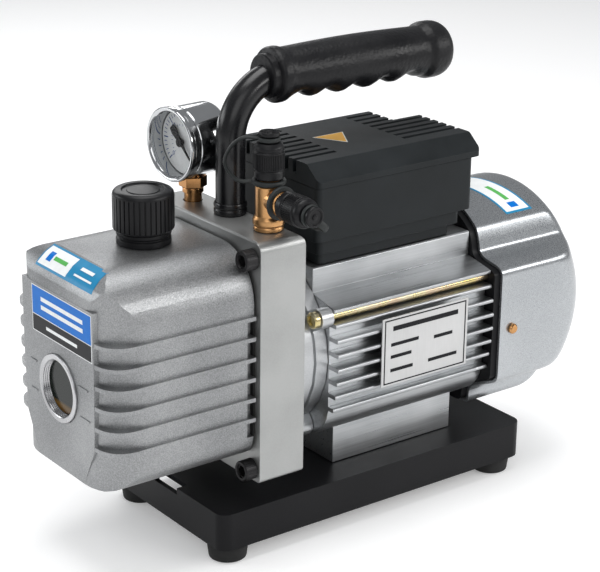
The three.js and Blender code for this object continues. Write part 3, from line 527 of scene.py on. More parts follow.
def patch(name, corners, target, material, slot, lift=0.05, thickness=0.09, cuts=10):
    """A thin film laid on a surface: four corners in millimetres, pressed straight onto the target."""
    clear_selection()
    bpy.ops.mesh.primitive_grid_add(x_subdivisions=cuts, y_subdivisions=cuts, size=2, location=(0, 0, 0))
    piece = bpy.context.object
    piece.name = name
    a, b, c, d = (spot(*corner) for corner in corners)
    outward = (b - a).cross(d - a).normalized()
    stand = Matrix.Translation(a) @ outward.to_track_quat("Z", "Y").to_matrix().to_4x4()
    for vertex in piece.data.vertices:
        u, v = (vertex.co.x + 1) / 2, (vertex.co.y + 1) / 2
        vertex.co = stand.inverted() @ ((a * (1 - u) + b * u) * (1 - v) + (d * (1 - u) + c * u) * v)
    piece.matrix_world = stand
    wrap = piece.modifiers.new("laid_down", "SHRINKWRAP")
    wrap.target, wrap.wrap_method = target, "PROJECT"
    wrap.use_project_z = wrap.use_negative_direction = wrap.use_positive_direction = True
    wrap.wrap_mode, wrap.offset = "ABOVE_SURFACE", lift * MM
    bpy.ops.object.modifier_apply(modifier=wrap.name)
    solid = piece.modifiers.new("film", "SOLIDIFY")
    solid.thickness, solid.offset = thickness * MM, 1
    bpy.ops.object.modifier_apply(modifier=solid.name)
    bpy.ops.object.shade_smooth_by_angle(angle=math.radians(30))
    return settle(piece, "root", slot, material)


def part_of(corners, left, right, low, high):
    """Four corners of a share of a four-cornered field, counted from its first corner."""
    a, b, c, d = (Vector(corner) for corner in corners)
    return [(a * (1 - u) + b * u) * (1 - v) + (d * (1 - u) + c * u) * v
            for u, v in ((left, low), (right, low), (right, high), (left, high))]


FRONT_LABEL = [(-79, 22.2, 110.3), (-79, -30.1, 110.3), (-79, -30.1, 132.7), (-79, 22.2, 132.7)]
TOP_LABEL = [(-76.8, 22.6, 141.6), (-76.8, -26.5, 141.6), (-66.6, -25, 148.9), (-66.6, 21.6, 148.9)]
LABEL_FIELDS = (
    ("front_label_edge", FRONT_LABEL, (0, 1, 0, 1), white_film),
    ("front_label_upper", FRONT_LABEL, (0.01, 0.99, 0.38, 0.98), blue_film),
    ("front_label_lower", FRONT_LABEL, (0.01, 0.99, 0.02, 0.36), black_film),
    ("front_label_bar_1", FRONT_LABEL, (0.16, 0.86, 0.72, 0.81), white_film),
    ("front_label_bar_2", FRONT_LABEL, (0.16, 0.86, 0.54, 0.63), white_film),
    ("front_label_bar_3", FRONT_LABEL, (0.24, 0.76, 0.15, 0.22), white_film),
    ("top_label_edge", TOP_LABEL, (0, 1, 0, 1), teal_film),
    ("top_label_field", TOP_LABEL, (0.02, 0.52, 0.09, 0.91), white_film),
    ("top_label_mark", TOP_LABEL, (0.10, 0.18, 0.30, 0.70), blue_film),
    ("top_label_bar_1", TOP_LABEL, (0.21, 0.44, 0.42, 0.58), green_film),
    ("top_label_bar_2", TOP_LABEL, (0.66, 0.88, 0.56, 0.70), white_film),
    ("top_label_bar_3", TOP_LABEL, (0.62, 0.92, 0.28, 0.36), white_film),
)
for name, corners, share, material in LABEL_FIELDS:
    layer = 0 if name.endswith("edge") else 2 if "bar" in name or "mark" in name else 1
    patch(name, part_of(corners, *share), casing_skin, material, "die_cast_silver", 0.04 + 0.07 * layer, 0.05)

# ---------------------------------------------------------------- motor
# Cast end shields, bright as the casting, clamp an extruded finned housing
# with four yellow-zinc rods that run in grooves under the shoulder lips.
extruded = Paint("extruded_aluminium", metallic=0.95)
die_lines = extruded.noise(260, 4, 0.6, (0.06, 4, 4))
dull = extruded.spread(extruded.noise(20, 3), 0.3, 0.7)
extruded.set(
    base_color=extruded.mix(extruded.spread(die_lines * 0.6 + dull * 0.4, 0.25, 0.75),
                            (0.32, 0.33, 0.34), (0.54, 0.55, 0.56)),
    roughness=extruded.spread(die_lines, 0.3, 0.7, 0.26, 0.4),
    normal=extruded.bump(die_lines, 0.5, 0.03 * MM))
dressed("motor_housing", extruded.material, 0.35, 32)
bright_casting = grainy("bright_casting", (0.34, 0.35, 0.36), (0.54, 0.55, 0.56), 0.34, 0.9, 1500, 0.07)
dressed("front_shield", bright_casting, 0.5, 40)
dressed("rear_shield", powder_black, 0.8)

zinc = Paint("yellow_zinc", metallic=1.0)
sheen = zinc.noise(38, 3, 0.6, (1, 2, 2))
bands = zinc.noise(110, 2, 0.5, (1, 0.4, 0.4))
warm = zinc.mix(zinc.spread(sheen, 0.35, 0.65), (0.58, 0.46, 0.17), (0.62, 0.57, 0.42))
zinc.set(base_color=zinc.mix(zinc.spread(bands, 0.45, 0.8), warm, (0.56, 0.38, 0.30)),
         roughness=zinc.spread(sheen, 0.3, 0.7, 0.2, 0.34),
         normal=zinc.bump(zinc.noise(900, 2), 0.2, 0.02 * MM))
for number in range(1, 5):
    low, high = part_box(f"tie_rod_{number}")
    rod_place = Vector((low.x, (low.y + high.y) / 2, (low.z + high.z) / 2))
    rod_profile = [
        (2.2, 0.9), (2.3, 0.1), (3.4, 0), (4, 0.6), (4, 3), (3.9, 3.1), (2.1, 3.1),
        (2.1, 118.6), (1.8, 119)
    ]
    rod = turned(f"tie_rod_{number}_bar", rod_profile, "x", rod_place, 32)
    ease(rod, 0.12)
    settle(rod, "root", "yellow_zinc", zinc.material, f"tie_rod_{number}")

# ---------------------------------------------------------------- name plate
# A thin printed aluminium plate riveted over the fins. Its wording is left
# out: a border, a heading bar, plain rules and two empty boxes stand for it.
plate_low, plate_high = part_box("name_plate")
plate_film = machined("printed_plate", (0.50, 0.50, 0.50), (0.62, 0.62, 0.62), 0.42, (6, 1, 0.3), 0.75)
dressed("name_plate", plate_film, 0.12)


def plate_bar(name, left, right, bottom, top):
    """A printed bar, placed by shares of the plate's width and height."""
    wide, tall = plate_high.x - plate_low.x, plate_high.z - plate_low.z
    clear_selection()
    bpy.ops.mesh.primitive_plane_add(size=1, location=(0, 0, 0), rotation=(math.pi / 2, 0, 0))
    piece = bpy.context.object
    piece.name = name
    piece.location = (plate_low.x + (left + right) / 2 * wide, plate_low.y - 0.02 * MM,
                      plate_low.z + (bottom + top) / 2 * tall)
    piece.scale = ((right - left) * wide, (top - bottom) * tall, 1)
    bpy.ops.object.transform_apply(location=True, rotation=True, scale=True)
    solid = piece.modifiers.new("ink", "SOLIDIFY")
    solid.thickness, solid.offset = 0.05 * MM, 0
    bpy.ops.object.modifier_apply(modifier=solid.name)
    settle(piece, "root", "plate_film", black_film)


BORDER = ((0.025, 0.975, 0.955, 0.975), (0.025, 0.975, 0.025, 0.045),
          (0.025, 0.038, 0.045, 0.955), (0.962, 0.975, 0.045, 0.955))
for number, edges in enumerate(BORDER):
    plate_bar(f"plate_border_{number}", *edges)
plate_bar("plate_heading", 0.12, 0.88, 0.80, 0.87)
for number, (left, right, row) in enumerate(((0.10, 0.42, 0.60), (0.10, 0.34, 0.42), (0.10, 0.36, 0.22),
                                             (0.54, 0.88, 0.22), (0.60, 0.82, 0.55))):
    plate_bar(f"plate_rule_{number}", left, right, row - 0.025, row + 0.025)

# ---------------------------------------------------------------- fan cowl
# Deep-drawn sheet in silver metallic paint: its section follows the shields,
# with an arched neck, broad sides and a stepped belly, and its back closes as
# a dome with level air slots.
COWL_FRONT, DOME_X, DOME_RADIUS, COWL_WALL = 143, 147, 71, 1.4


def quadratic(start, control, end, count):
    points = []
    for step in range(count + 1):
        t = step / count
        points.append(tuple((1 - t) ** 2 * s + 2 * t * (1 - t) * c + t * t * e
                            for s, c, e in zip(start, control, end)))
    return points


def cowl_outline():
    """The right half of the section from the crown to the belly, in (y, z)."""
    neck = math.acos(31.5 / 45.5)
    crown = [(45.5 * math.sin(a), 98.3 + 45.5 * math.cos(a))
             for a in (i / 24 * (math.pi / 2 - neck) for i in range(25))]
    return (crown
            + quadratic(crown[-1], (34.1, 125), (34.5, 121), 8)
            + quadratic((34.5, 121), (35.5, 118.2), (40, 117.4), 8)
            + quadratic((46, 116.4), (52, 115.6), (52, 111), 8)
            + quadratic((52, 59), (52, 54.6), (48, 53.2), 8)
            + quadratic((36, 48), (31, 46), (31, 42), 8)
            + quadratic((31, 39.2), (31, 36.2), (28, 36.2), 6)
            + [(0, 36.2)])


def reach_table():
    """Angle from the crown against distance from the shaft, for the half section."""
    return [(math.atan2(y, z - SHAFT_Z), math.hypot(y, z - SHAFT_Z)) for y, z in cowl_outline()]


REACH = reach_table()


def section_reach(angle):
    angle = abs((angle + math.pi) % (2 * math.pi) - math.pi)
    for (a0, r0), (a1, r1) in zip(REACH, REACH[1:]):
        if a0 <= angle <= a1 + 1e-9:
            y0, z0, y1, z1 = r0 * math.sin(a0), r0 * math.cos(a0), r1 * math.sin(a1), r1 * math.cos(a1)
            cross = math.sin(angle) * (z1 - z0) - math.cos(angle) * (y1 - y0)
            if abs(cross) < 1e-9:
                return r0
            return (y0 * (z1 - z0) - z0 * (y1 - y0)) / cross
    return REACH[-1][1]


def soft_least(a, b, blend):
    """The lesser of two lengths, rounded off where they meet."""
    h = max(0.0, min(1.0, 0.5 + 0.5 * (b - a) / blend))
    return b * (1 - h) + a * h - blend * h * (1 - h)


ROUND, RINGS = 240, 46
clear_selection()
bpy.ops.mesh.primitive_grid_add(x_subdivisions=ROUND, y_subdivisions=RINGS, size=2, location=(0, 0, 0))
cowl = bpy.context.object
cowl.name = "fan_cowl_shell"
for vertex in cowl.data.vertices:
    angle = vertex.co.x * math.pi
    run = (vertex.co.y + 1) / 2
    sweep = max(0.0, (run - 0.12) / 0.88)
    x = COWL_FRONT + (DOME_X - COWL_FRONT) * min(1, run / 0.12) + DOME_RADIUS * math.sin(sweep * math.pi / 2)
    dome = DOME_RADIUS * math.cos(sweep * math.pi / 2)
    reach = max(0.02, soft_least(section_reach(angle), dome, 5.0)) if sweep < 1 else 0.0
    vertex.co = spot(min(x, 217.7), reach * math.sin(angle), SHAFT_Z + reach * math.cos(angle))
edit_all()
bpy.ops.mesh.remove_doubles(threshold=0.002 * MM)
bpy.ops.mesh.normals_make_consistent(inside=False)
bpy.ops.object.mode_set(mode="OBJECT")
wall = cowl.modifiers.new("sheet", "SOLIDIFY")
wall.thickness, wall.offset = COWL_WALL * MM, -1
bpy.ops.object.modifier_apply(modifier=wall.name)


def carve(piece, tools):
    """Cuts tool shapes out of a piece in one go and removes the tools."""
    clear_selection()
    for tool in tools:
        tool.select_set(True)
    bpy.context.view_layer.objects.active = tools[0]
    if len(tools) > 1:
        bpy.ops.object.join()
    cutter = bpy.context.object
    take(piece)
    modifier = piece.modifiers.new("carved", "BOOLEAN")
    modifier.operation, modifier.object, modifier.solver = "DIFFERENCE", cutter, "EXACT"
    bpy.ops.object.modifier_apply(modifier=modifier.name)
    bpy.data.objects.remove(cutter)


slots = []
for level in range(-3, 4):
    half = math.sqrt(32 ** 2 - (level * 8.4) ** 2)
    clear_selection()
    bpy.ops.mesh.primitive_cube_add(size=1, location=spot(212, 0, SHAFT_Z + level * 8.4))
    slot_tool = bpy.context.object
    slot_tool.scale = (44 * MM, 2 * half * MM, 3.8 * MM)
    bpy.ops.object.transform_apply(location=False, rotation=False, scale=True)
    rounding = slot_tool.modifiers.new("round_ends", "BEVEL")
    rounding.width, rounding.segments = 1.7 * MM, 4
    bpy.ops.object.modifier_apply(modifier=rounding.name)
    slots.append(slot_tool)
carve(cowl, slots)
take(cowl)
bpy.ops.object.shade_smooth_by_angle(angle=math.radians(40))

metallic_paint = Paint("silver_metallic_paint", metallic=0.85, coat_weight=0.2, coat_roughness=0.15)
flakes = metallic_paint.cells(2600)
orange_peel = metallic_paint.noise(420, 2)
paint_drift = metallic_paint.spread(metallic_paint.noise(12, 2), 0.3, 0.7)
metallic_paint.set(
    base_color=metallic_paint.mix(metallic_paint.spread(flakes * 0.8 + paint_drift * 0.3, 0.15, 0.75),
                                  (0.27, 0.285, 0.30), (0.46, 0.475, 0.49)),
    roughness=metallic_paint.spread(flakes, 0, 0.7, 0.22, 0.32),
    normal=metallic_paint.bump(orange_peel, 0.12, 0.05 * MM))
settle(cowl, "root", "silver_paint", metallic_paint.material, "fan_cowl")

brass = machined("turned_brass", (0.44, 0.22, 0.085), (0.66, 0.37, 0.16), 0.26, (1, 1, 5), depth=0.02)
for node in ("cowl_screw_1", "cowl_screw_2"):
    dressed(node, brass, 0.15)

COWL_LABEL = [(165.5, -31.2, 142.9), (183, -31.2, 142.9), (171.5, 4.8, 152.7), (154, 4.8, 152.7)]
for name, share, material, lift in (("cowl_label_edge", (0, 1, 0, 1), teal_film, 0.04),
                                    ("cowl_label_field", (0.07, 0.93, 0.03, 0.97), white_film, 0.11),
                                    ("cowl_label_bar_1", (0.44, 0.60, 0.22, 0.56), green_film, 0.18),
                                    ("cowl_label_mark", (0.36, 0.66, 0.08, 0.17), blue_film, 0.18)):
    patch(name, part_of(COWL_LABEL, *share), cowl, material, "silver_paint", lift, 0.05, 24)

# ---------------------------------------------------------------- electric box
# Charcoal ABS with a spark-eroded skin: a box on the housing's platform and
# a lid with ribs at both ends. A plain amber triangle is stuck on the lid.
spark = Paint("spark_eroded_abs", specular_ior_level=0.2)
erosion = spark.noise(1300, 3, 0.7)
handling = spark.spread(spark.noise(28, 4, 0.6), 0.35, 0.75)
spark.set(base_color=spark.mix(spark.spread(erosion * 0.4 + handling * 0.6, 0.2, 0.85),
                               (0.007, 0.009, 0.010), (0.015, 0.018, 0.020)),
          roughness=spark.spread(erosion * 0.5 + handling * 0.5, 0.2, 0.8, 0.42, 0.58),
          normal=spark.bump(erosion, 0.6, 0.06 * MM))
dressed("electric_box", spark.material, 0.9, 32, 3)
dressed("box_lid", spark.material, 0.45, 26, 2)
dressed("power_inlet", moulded_black, 0.3)
dressed("power_rocker", moulded_black, 0.5, 20, 3)

amber_film = film("amber_film", (0.80, 0.42, 0.05), 0.35)
lid_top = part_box("box_lid")[1].z
HAZARD_FIELDS = (
    ("hazard_edge", 10.6, white_film, 0.06),
    ("hazard_field", 9.6, amber_film, 0.12),
)
for name, size, material, lift in HAZARD_FIELDS:
    clear_selection()
    bpy.ops.mesh.primitive_cylinder_add(vertices=3, radius=size * MM, depth=0.1 * MM, location=(0, 0, 0))
    triangle = bpy.context.object
    triangle.name = name
    tip_over(triangle, Matrix.Rotation(math.pi, 4, "Z"), Vector((*spot(76.4, 0, 0).xy, lid_top + lift * MM)))
    settle(triangle, "root", "box_plastic", material)

# ---------------------------------------------------------------- handle
# A bent steel tube in gloss black, with a pressed ring at its foot. A soft
# moulded grip with finger valleys is pushed over its level end.
gloss_black = Paint("gloss_black_enamel", base_color=(0.006, 0.006, 0.007), specular_ior_level=0.4)
gloss_black.set(roughness=gloss_black.spread(gloss_black.noise(70, 4, 0.6), 0.35, 0.7, 0.2, 0.32),
                normal=gloss_black.bump(gloss_black.noise(240, 1), 0.06, 0.06 * MM))
TUBE_X, TUBE_RADIUS, BEND_X, BEND_Z, GRIP_Z = 15.4, 7, 43.4, 189.5, 217.5
clear_selection()
bpy.ops.mesh.primitive_circle_add(vertices=48, radius=TUBE_RADIUS * MM, location=spot(TUBE_X, 0, 141),
                                  fill_type="NGON", enter_editmode=True)
tube = bpy.context.object
tube.name = "handle_bar"
bpy.ops.mesh.select_all(action="SELECT")
bpy.ops.mesh.extrude_region_move(TRANSFORM_OT_translate={"value": (0, 0, (BEND_Z - 141) * MM)})
bpy.ops.mesh.spin(steps=28, angle=math.pi / 2, center=spot(BEND_X, 0, BEND_Z), axis=(0, -1, 0))
bpy.ops.mesh.extrude_region_move(TRANSFORM_OT_translate={"value": ((134 - BEND_X) * MM, 0, 0)})
bpy.ops.mesh.select_all(action="SELECT")
bpy.ops.mesh.normals_make_consistent(inside=False)
bpy.ops.object.mode_set(mode="OBJECT")
ease(tube, 0.2)
settle(tube, "root", "gloss_black_paint", gloss_black.material, "handle_tube")
ferrule_profile = [
    (7.05, 154.8), (7.6, 154.8), (7.9, 155.6), (7.9, 156.8), (7.5, 157.4), (7.5, 157.9),
    (7.9, 158.5), (7.9, 159.5), (7.5, 160.4), (7.05, 160.4), (7.05, 154.8)
]
ferrule = turned("handle_ferrule", ferrule_profile, "z", spot(TUBE_X, 0, 0), 48)
ease(ferrule, 0.1)
settle(ferrule, "root", "gloss_black_paint", gloss_black.material)

grip_profile = [
    (9.3, 33.2), (9.9, 33.4), (10.4, 33.9), (10.5, 34.6), (10.5, 36.4), (10.6, 36.8), (11.6, 37.1),
    (12.6, 37.5), (13.1, 38.2), (13.3, 39), (13.3, 41.4), (13.1, 42.4), (12.6, 43.6), (12.3, 45)
]
grip_profile += [(12.25 + 0.9 * math.sin((x - 45) / 80 * math.pi), x) for x in range(47, 125, 2)]
grip_profile += [
    (12.3, 125.4), (12.5, 126.4), (13.1, 127.6), (13.7, 128.8), (14, 130), (14, 134.6), (13.7, 136.6),
    (13.1, 138.4), (12.1, 140), (10.7, 141.3), (8.6, 142.3), (5.6, 142.9), (2, 143)
]
grip = turned("handle_grip_moulding", grip_profile, "x", spot(0, 0, GRIP_Z), 72)
VALLEY_FIRST, VALLEY_PITCH, VALLEYS, VALLEY_DEPTH = 51, 16.4, 5, 3.1
axis_z = GRIP_Z * MM
for vertex in grip.data.vertices:
    along = (vertex.co.x - FACE_X) / MM
    below = (axis_z - vertex.co.z) / MM
    nearest = round((along - VALLEY_FIRST) / VALLEY_PITCH)
    if 0 <= nearest < VALLEYS and below > 0:
        away = (along - VALLEY_FIRST - nearest * VALLEY_PITCH) / VALLEY_PITCH
        dip = VALLEY_DEPTH * (0.5 + 0.5 * math.cos(2 * math.pi * away)) * min(1, below / 11) ** 2
        vertex.co.z += dip * MM
ease(grip, 0)
leather = Paint("grained_grip", specular_ior_level=0.22)
grain_cells = leather.cells(620, "SMOOTH_F1")
grain_fine = leather.noise(1500, 2)
worn = leather.spread(leather.noise(40, 4, 0.6), 0.4, 0.75)
leather.set(base_color=leather.mix(worn, (0.005, 0.005, 0.006), (0.010, 0.010, 0.011)),
            roughness=leather.spread(worn, 0, 1, 0.34, 0.5),
            normal=leather.bump(grain_cells + grain_fine * 0.25, 0.7, 0.22 * MM))
settle(grip, "root", "grip_plastic", leather.material, "handle_grip")

# ---------------------------------------------------------------- vacuum gauge
# A small dial gauge: chromed case and bezel, white dial with printed ticks
# and figures under a clear window, on a brass stem with a hexagon.
GAUGE_TURN = Matrix.Rotation(math.radians(4), 4, "Z")
gauge_middle = spot(12.6, 27.3, 184)
chrome = Paint("chrome_plate", metallic=1.0, base_color=(0.58, 0.59, 0.60))
chrome.set(roughness=chrome.spread(chrome.noise(80, 4, 0.6), 0.4, 0.75, 0.06, 0.16))


def gauge_part(name, profile, material, slot, *nodes, steps=72):
    """A turned part of the gauge, along its own axis, then swung to face the way the gauge does."""
    piece = turned(name, profile, "x", Vector((0, 0, 0)), steps)
    ease(piece, 0.12)
    tip_over(piece, GAUGE_TURN, gauge_middle)
    return settle(piece, "root", slot, material, *nodes)


can_profile = [
    (15.9, 1.8), (15.9, -11), (17.1, -11), (17.2, -10.8), (17.2, -8.6), (16.9, -8.2),
    (16.9, -7.6), (17.2, -7.2), (17.2, 8.8), (16.8, 10), (15.6, 11), (13.8, 11.2), (3, 11.2)
]
gauge_part("gauge_can", can_profile, chrome.material, "chrome", "gauge_case")
rim_profile = [
    (15.6, -13), (16.1, -13.7), (16.8, -14.1), (17.4, -14.1), (17.9, -13.7), (18, -13.2),
    (18, -11.7), (17.7, -11.3), (15.6, -11.3), (15.6, -13)
]
gauge_part("gauge_rim", rim_profile, chrome.material, "chrome", "gauge_bezel")
window_glass = Paint("window_glass", base_color=(0.02, 0.02, 0.02), roughness=0.02, alpha=0.07)
window_profile = [(15.2, -12.6), (15.3, -12.4), (15.3, -11.6)]
gauge_part("gauge_window", window_profile, window_glass.material, "clear_glass", "gauge_lens")
dial_white = film("dial_white", (0.88, 0.90, 0.90), 0.4)
face_profile = [(1.2, -6), (15.5, -6), (15.5, -5), (1.2, -5), (1.2, -6)]
gauge_part("gauge_face", face_profile, dial_white, "dial_white", "gauge_dial")
dial_ink = film("dial_ink", (0.01, 0.07, 0.30), 0.4)


def ink_marks(name, count, inner, outer, wide, start, sweep):
    """Printed ticks in a ring on the dial; angles run clockwise from the top as the dial is read."""
    tools = []
    for number in range(count):
        angle = math.radians(start + sweep * number / (count - 1))
        clear_selection()
        bpy.ops.mesh.primitive_cube_add(size=1, location=(0, 0, (inner + outer) / 2 * MM))
        tick = bpy.context.object
        tick.scale = (0.06 * MM, wide * MM, (outer - inner) * MM)
        bpy.ops.object.transform_apply(location=True, rotation=True, scale=True)
        tip_over(tick, Matrix.Rotation(angle, 4, "X"), Vector((0, 0, 0)))
        tools.append(tick)
    clear_selection()
    for tick in tools:
        tick.select_set(True)
    bpy.context.view_layer.objects.active = tools[0]
    bpy.ops.object.join()
    marks = bpy.context.object
    marks.name = name
    tip_over(marks, GAUGE_TURN @ Matrix.Translation((-6.06 * MM, 0, 0)), gauge_middle)
    return settle(marks, "root", "dial_white", dial_ink)


ink_marks("dial_ticks", 31, 12.3, 14.2, 0.28, -135, 270)
ink_marks("dial_long_ticks", 7, 11.2, 14.2, 0.5, -135, 270)
ink_marks("dial_inner_ticks", 21, 7.6, 8.5, 0.22, -135, 270)
for number in range(4):
    angle = math.radians(-135 + 90 * number)
    clear_selection()
    bpy.ops.object.text_add(location=(0, 0, 0))
    figure = bpy.context.object
    figure.name = f"dial_figure_{number}"
    figure.data.body = str(number * 10)
    figure.data.size = 3 * MM
    figure.data.align_x, figure.data.align_y = "CENTER", "CENTER"
    figure.data.extrude = 0.03 * MM
    bpy.ops.object.convert(target="MESH")
    upright = Matrix(((0, 0, -1, 0), (-1, 0, 0, 0), (0, 1, 0, 0), (0, 0, 0, 1)))
    place = Vector((-6.06 * MM, -9.8 * MM * math.sin(angle), 9.8 * MM * math.cos(angle)))
    tip_over(figure, GAUGE_TURN @ Matrix.Translation(place) @ upright, gauge_middle)
    settle(figure, "root", "dial_white", dial_ink)

dressed("gauge_needle", moulded_black, 0.1)
dressed("gauge_stem", brass, 0.3, 28)

# ---------------------------------------------------------------- intake
# A turned brass tee, warm and lightly oxidised, with a flare thread on top
# and one facing the side. Each has a knurled screw cap on a rubber strap.
tee_place = spot(15.5, -30.3, 0)
SIDE_Z = 169.5
tee_profile = [
    (2.6, 141), (4.9, 141), (4.9, 154.8), (6.7, 154.8), (7, 155.2), (7.0, 156.4), (6.7, 156.8),
    (6.7, 157.1), (7.2, 157.6), (7.3, 158.2), (7.3, 160), (7, 160.7), (6.4, 161.5), (6.2, 162),
    (6.2, 175.6), (5.9, 176), (5.2, 176.3), (4.9, 176.8), (4.9, 189.2), (4.5, 189.6),
    (2.6, 189.6), (2.6, 141)
]
tee = turned("intake_tee", tee_profile, "z", tee_place, 64)
ease(tee, 0.12)
settle(tee, "root", "brass", brass, "intake_fitting")
branch_profile = [
    (2.6, 3.2), (5.4, 3.2), (5.6, 6), (5.6, 10.6), (5.3, 11), (5, 11.2), (5, 25.2), (4.6, 25.6),
    (2.6, 25.6), (2.6, 3.2)
]
branch = turned("intake_branch", branch_profile, "-y", tee_place + Vector((0, 0, SIDE_Z * MM)), 56)
ease(branch, 0.12)
settle(branch, "root", "brass", brass)


def flare_cap(name):
    """A knurled screw cap, made upright from its mouth to the knob that holds the strap."""
    steps = 96
    profile = [
        (4, 12.6), (5.3, 12.5), (5.3, 0), (6.3, 0), (6.8, 0.4), (6.9, 0.9), (6.9, 3.5),
        (6.6, 3.9), (6.6, 4.3), (7.1, 4.6), (7.2, 5), (7.2, 12.2), (7.1, 12.6), (6.6, 12.9),
        (6.6, 13.3), (6.9, 13.6), (6.9, 14.9), (6.5, 15.6), (5.6, 16.7), (2.6, 17.1),
        (2.6, 19.5), (4.4, 19.7), (4.8, 20.2), (4.8, 21.2), (4.4, 21.8), (3.7, 21.8),
        (3.4, 21.1), (1.4, 21.1), (1.2, 21.7), (0.5, 21.8)
    ]
    piece = turned(name, profile, "z", Vector((0, 0, 0)), steps)
    flute(piece, 5.2, 12.1, steps, 2, 0.03, 0.45)
    ease(piece, 0.1)
    return piece


def swept(name, route, half_wide, half_thick, sides=12):
    """A band of rounded section drawn along points in its own X-Z plane."""
    clear_selection()
    bpy.ops.mesh.primitive_circle_add(vertices=sides, radius=1, location=(0, 0, 0), fill_type="NGON",
                                      enter_editmode=True)
    piece = bpy.context.object
    piece.name = name
    bpy.ops.mesh.select_all(action="SELECT")
    bpy.ops.transform.resize(value=(half_thick * MM, half_wide * MM, 1))
    here, heading = Vector(route[0]) * MM, 0.0
    bpy.ops.transform.translate(value=here)
    for number, point in enumerate(route):
        ahead = Vector(route[min(number + 1, len(route) - 1)]) - Vector(route[max(number - 1, 0)])
        wanted = math.atan2(ahead.x, ahead.z)
        there = Vector(point) * MM
        if number:
            bpy.ops.mesh.extrude_region_move(TRANSFORM_OT_translate={"value": there - here})
        swing = (wanted - heading + math.pi) % (2 * math.pi) - math.pi
        turn_section(piece, there, swing)
        here, heading = there, wanted
    bpy.ops.mesh.select_all(action="SELECT")
    bpy.ops.mesh.normals_make_consistent(inside=False)
    bpy.ops.object.mode_set(mode="OBJECT")
    return piece


def turn_section(piece, centre_point, swing):
    """Swings the selected end section about the Y axis."""
    bpy.ops.object.mode_set(mode="OBJECT")
    turn = Matrix.Rotation(swing, 3, "Y")
    for vertex in piece.data.vertices:
        if vertex.select:
            vertex.co = centre_point + turn @ (vertex.co - centre_point)
    bpy.ops.object.mode_set(mode="EDIT")


def smooth_route(points, per_span=5):
    """A Catmull-Rom curve through the points."""
    padded = [points[0], *points, points[-1]]
    route = []
    for a, b, c, d in zip(padded, padded[1:], padded[2:], padded[3:]):
        for step in range(per_span):
            t = step / per_span
            route.append(tuple(0.5 * (2 * q + (r - p) * t + (2 * p - 5 * q + 4 * r - s) * t * t
                                      + (3 * q - p - 3 * r + s) * t ** 3) for p, q, r, s in zip(a, b, c, d)))
    return [*route, points[-1]]


def cap_strap(name, reach, neck_z):
    """Both rings and the band that bows out between them, upright as the cap is made."""
    route = smooth_route([
        (4.4, 0, 18.4), (11, 0, 18.9), (reach - 3, 0, 14.6), (reach, 0, 7), (reach - 4, 0, 0),
        (12, 0, neck_z - 0.3), (7, 0, neck_z)
    ])
    band = swept(f"{name}_band", route, 1.7, 0.85)
    knob_ring_profile = [
        (2.9, 17.5), (5, 17.5), (5.2, 17.9), (5.2, 18.9), (5, 19.3), (2.9, 19.3), (2.9, 17.5)
    ]
    knob_ring = turned(f"{name}_knob_ring", knob_ring_profile, "z", Vector((0, 0, 0)), 40)
    neck_ring_profile = [
        (6, neck_z - 1), (7.7, neck_z - 1), (8, neck_z - 0.5), (8, neck_z + 0.5),
        (7.7, neck_z + 1), (6, neck_z + 1), (6, neck_z - 1)
    ]
    neck_ring = turned(f"{name}_neck_ring", neck_ring_profile, "z", Vector((0, 0, 0)), 48)
    clear_selection()
    for part in (band, knob_ring, neck_ring):
        part.select_set(True)
    bpy.context.view_layer.objects.active = band
    bpy.ops.object.join()
    band.name = name
    bpy.ops.object.shade_smooth_by_angle(angle=math.radians(50))
    return band


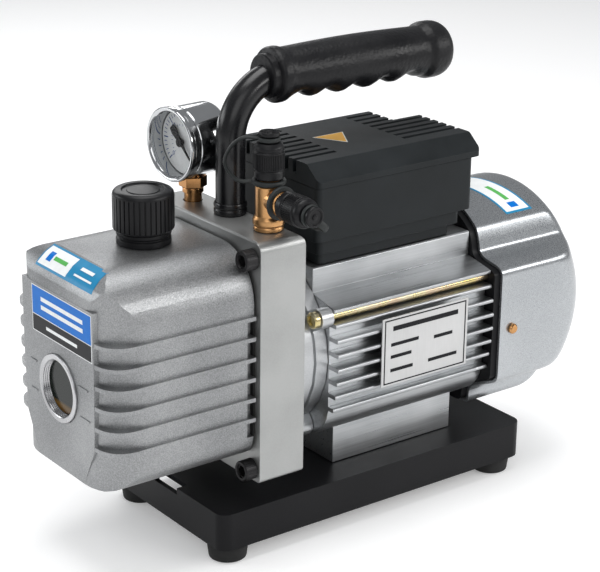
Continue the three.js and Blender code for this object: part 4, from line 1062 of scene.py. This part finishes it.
TO_SIDE = Matrix.Rotation(math.pi / 2, 4, "X")
CAPS = (
    ("top", tee_place + Vector((0, 0, 179.2 * MM)), Matrix.Identity(4), 20, -1.5, 143),
    ("side", tee_place + Vector((0, -13.5 * MM, SIDE_Z * MM)), TO_SIDE, 15.5, -3.6, -42),
)
strap_rubber = rubber_finish("strap_rubber", (0.016, 0.018, 0.018), 0.5)
for side, mouth, stand, reach, neck_z, swing in CAPS:
    screw_cap = flare_cap(f"intake_{side}_screw_cap")
    tip_over(screw_cap, stand, mouth)
    settle(screw_cap, f"intake_{side}_cap", "black_plastic", moulded_black, f"{side}_cap")
    strap = cap_strap(f"intake_{side}_cap_strap", reach, neck_z)
    tip_over(strap, stand @ Matrix.Rotation(math.radians(swing), 4, "Z"), mouth)
    strap.data.materials.clear()
    strap.data.materials.append(strap_rubber)
    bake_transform(strap)
    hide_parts(f"{side}_strap")

# ---------------------------------------------------------------- works inside
# The motor's wound and turning parts and the pump module in the oil are out
# of sight, but they are there: laminated cores, ground shaft, cast cylinder
# with its rotor, and carbon vanes.
cast_iron = grainy("machined_iron", (0.10, 0.10, 0.105), (0.20, 0.20, 0.205), 0.45, 0.9, 900, 0.06)
lamination = machined("pressed_laminations", (0.16, 0.16, 0.17), (0.30, 0.30, 0.31), 0.45,
                      (14, 0.3, 0.3), depth=0.05)
carbon = grainy("carbon_vane", (0.03, 0.03, 0.03), (0.06, 0.06, 0.06), 0.55, 0, 1500, 0.04)
case_film = film("capacitor_case", (0.72, 0.72, 0.70), 0.45)
INNER = {
    "pump_cylinder": cast_iron, "pump_end_plate": cast_iron, "pump_rotor": cast_iron,
    "stator_core": lamination, "rotor_core": lamination, "main_shaft": steel,
    "front_bearing": steel, "rear_bearing": steel, "cooling_fan": moulded_black,
    "vane_1": carbon, "vane_2": carbon, "vane_3": carbon, "vane_4": carbon,
    "run_capacitor": case_film,
}
for node, material in INNER.items():
    finish_node(node, material)

# ---------------------------------------------------------------- floor and light
# The floor is a matt, nearly white sweep. It glows a little so that it stays
# white, and the sky over it is even and slightly cool.
sweep_paint = Paint("studio_sweep", roughness=0.9, emission_color=(1, 1, 1), emission_strength=0.25)
sweep_paint.set(base_color=sweep_paint.mix(sweep_paint.noise(2, 2), (0.86, 0.86, 0.86), (0.88, 0.88, 0.88)))
floor.data.materials.append(sweep_paint.material)
world = bpy.data.worlds.new("studio_sky")
bpy.context.scene.world = world
world.use_nodes = True
sky = world.node_tree
backdrop = sky.nodes["Background"]
backdrop.inputs["Color"].default_value = (0.95, 0.97, 1, 1)
backdrop.inputs["Strength"].default_value = 0.3
bpy.context.scene.view_settings.view_transform = "Standard"
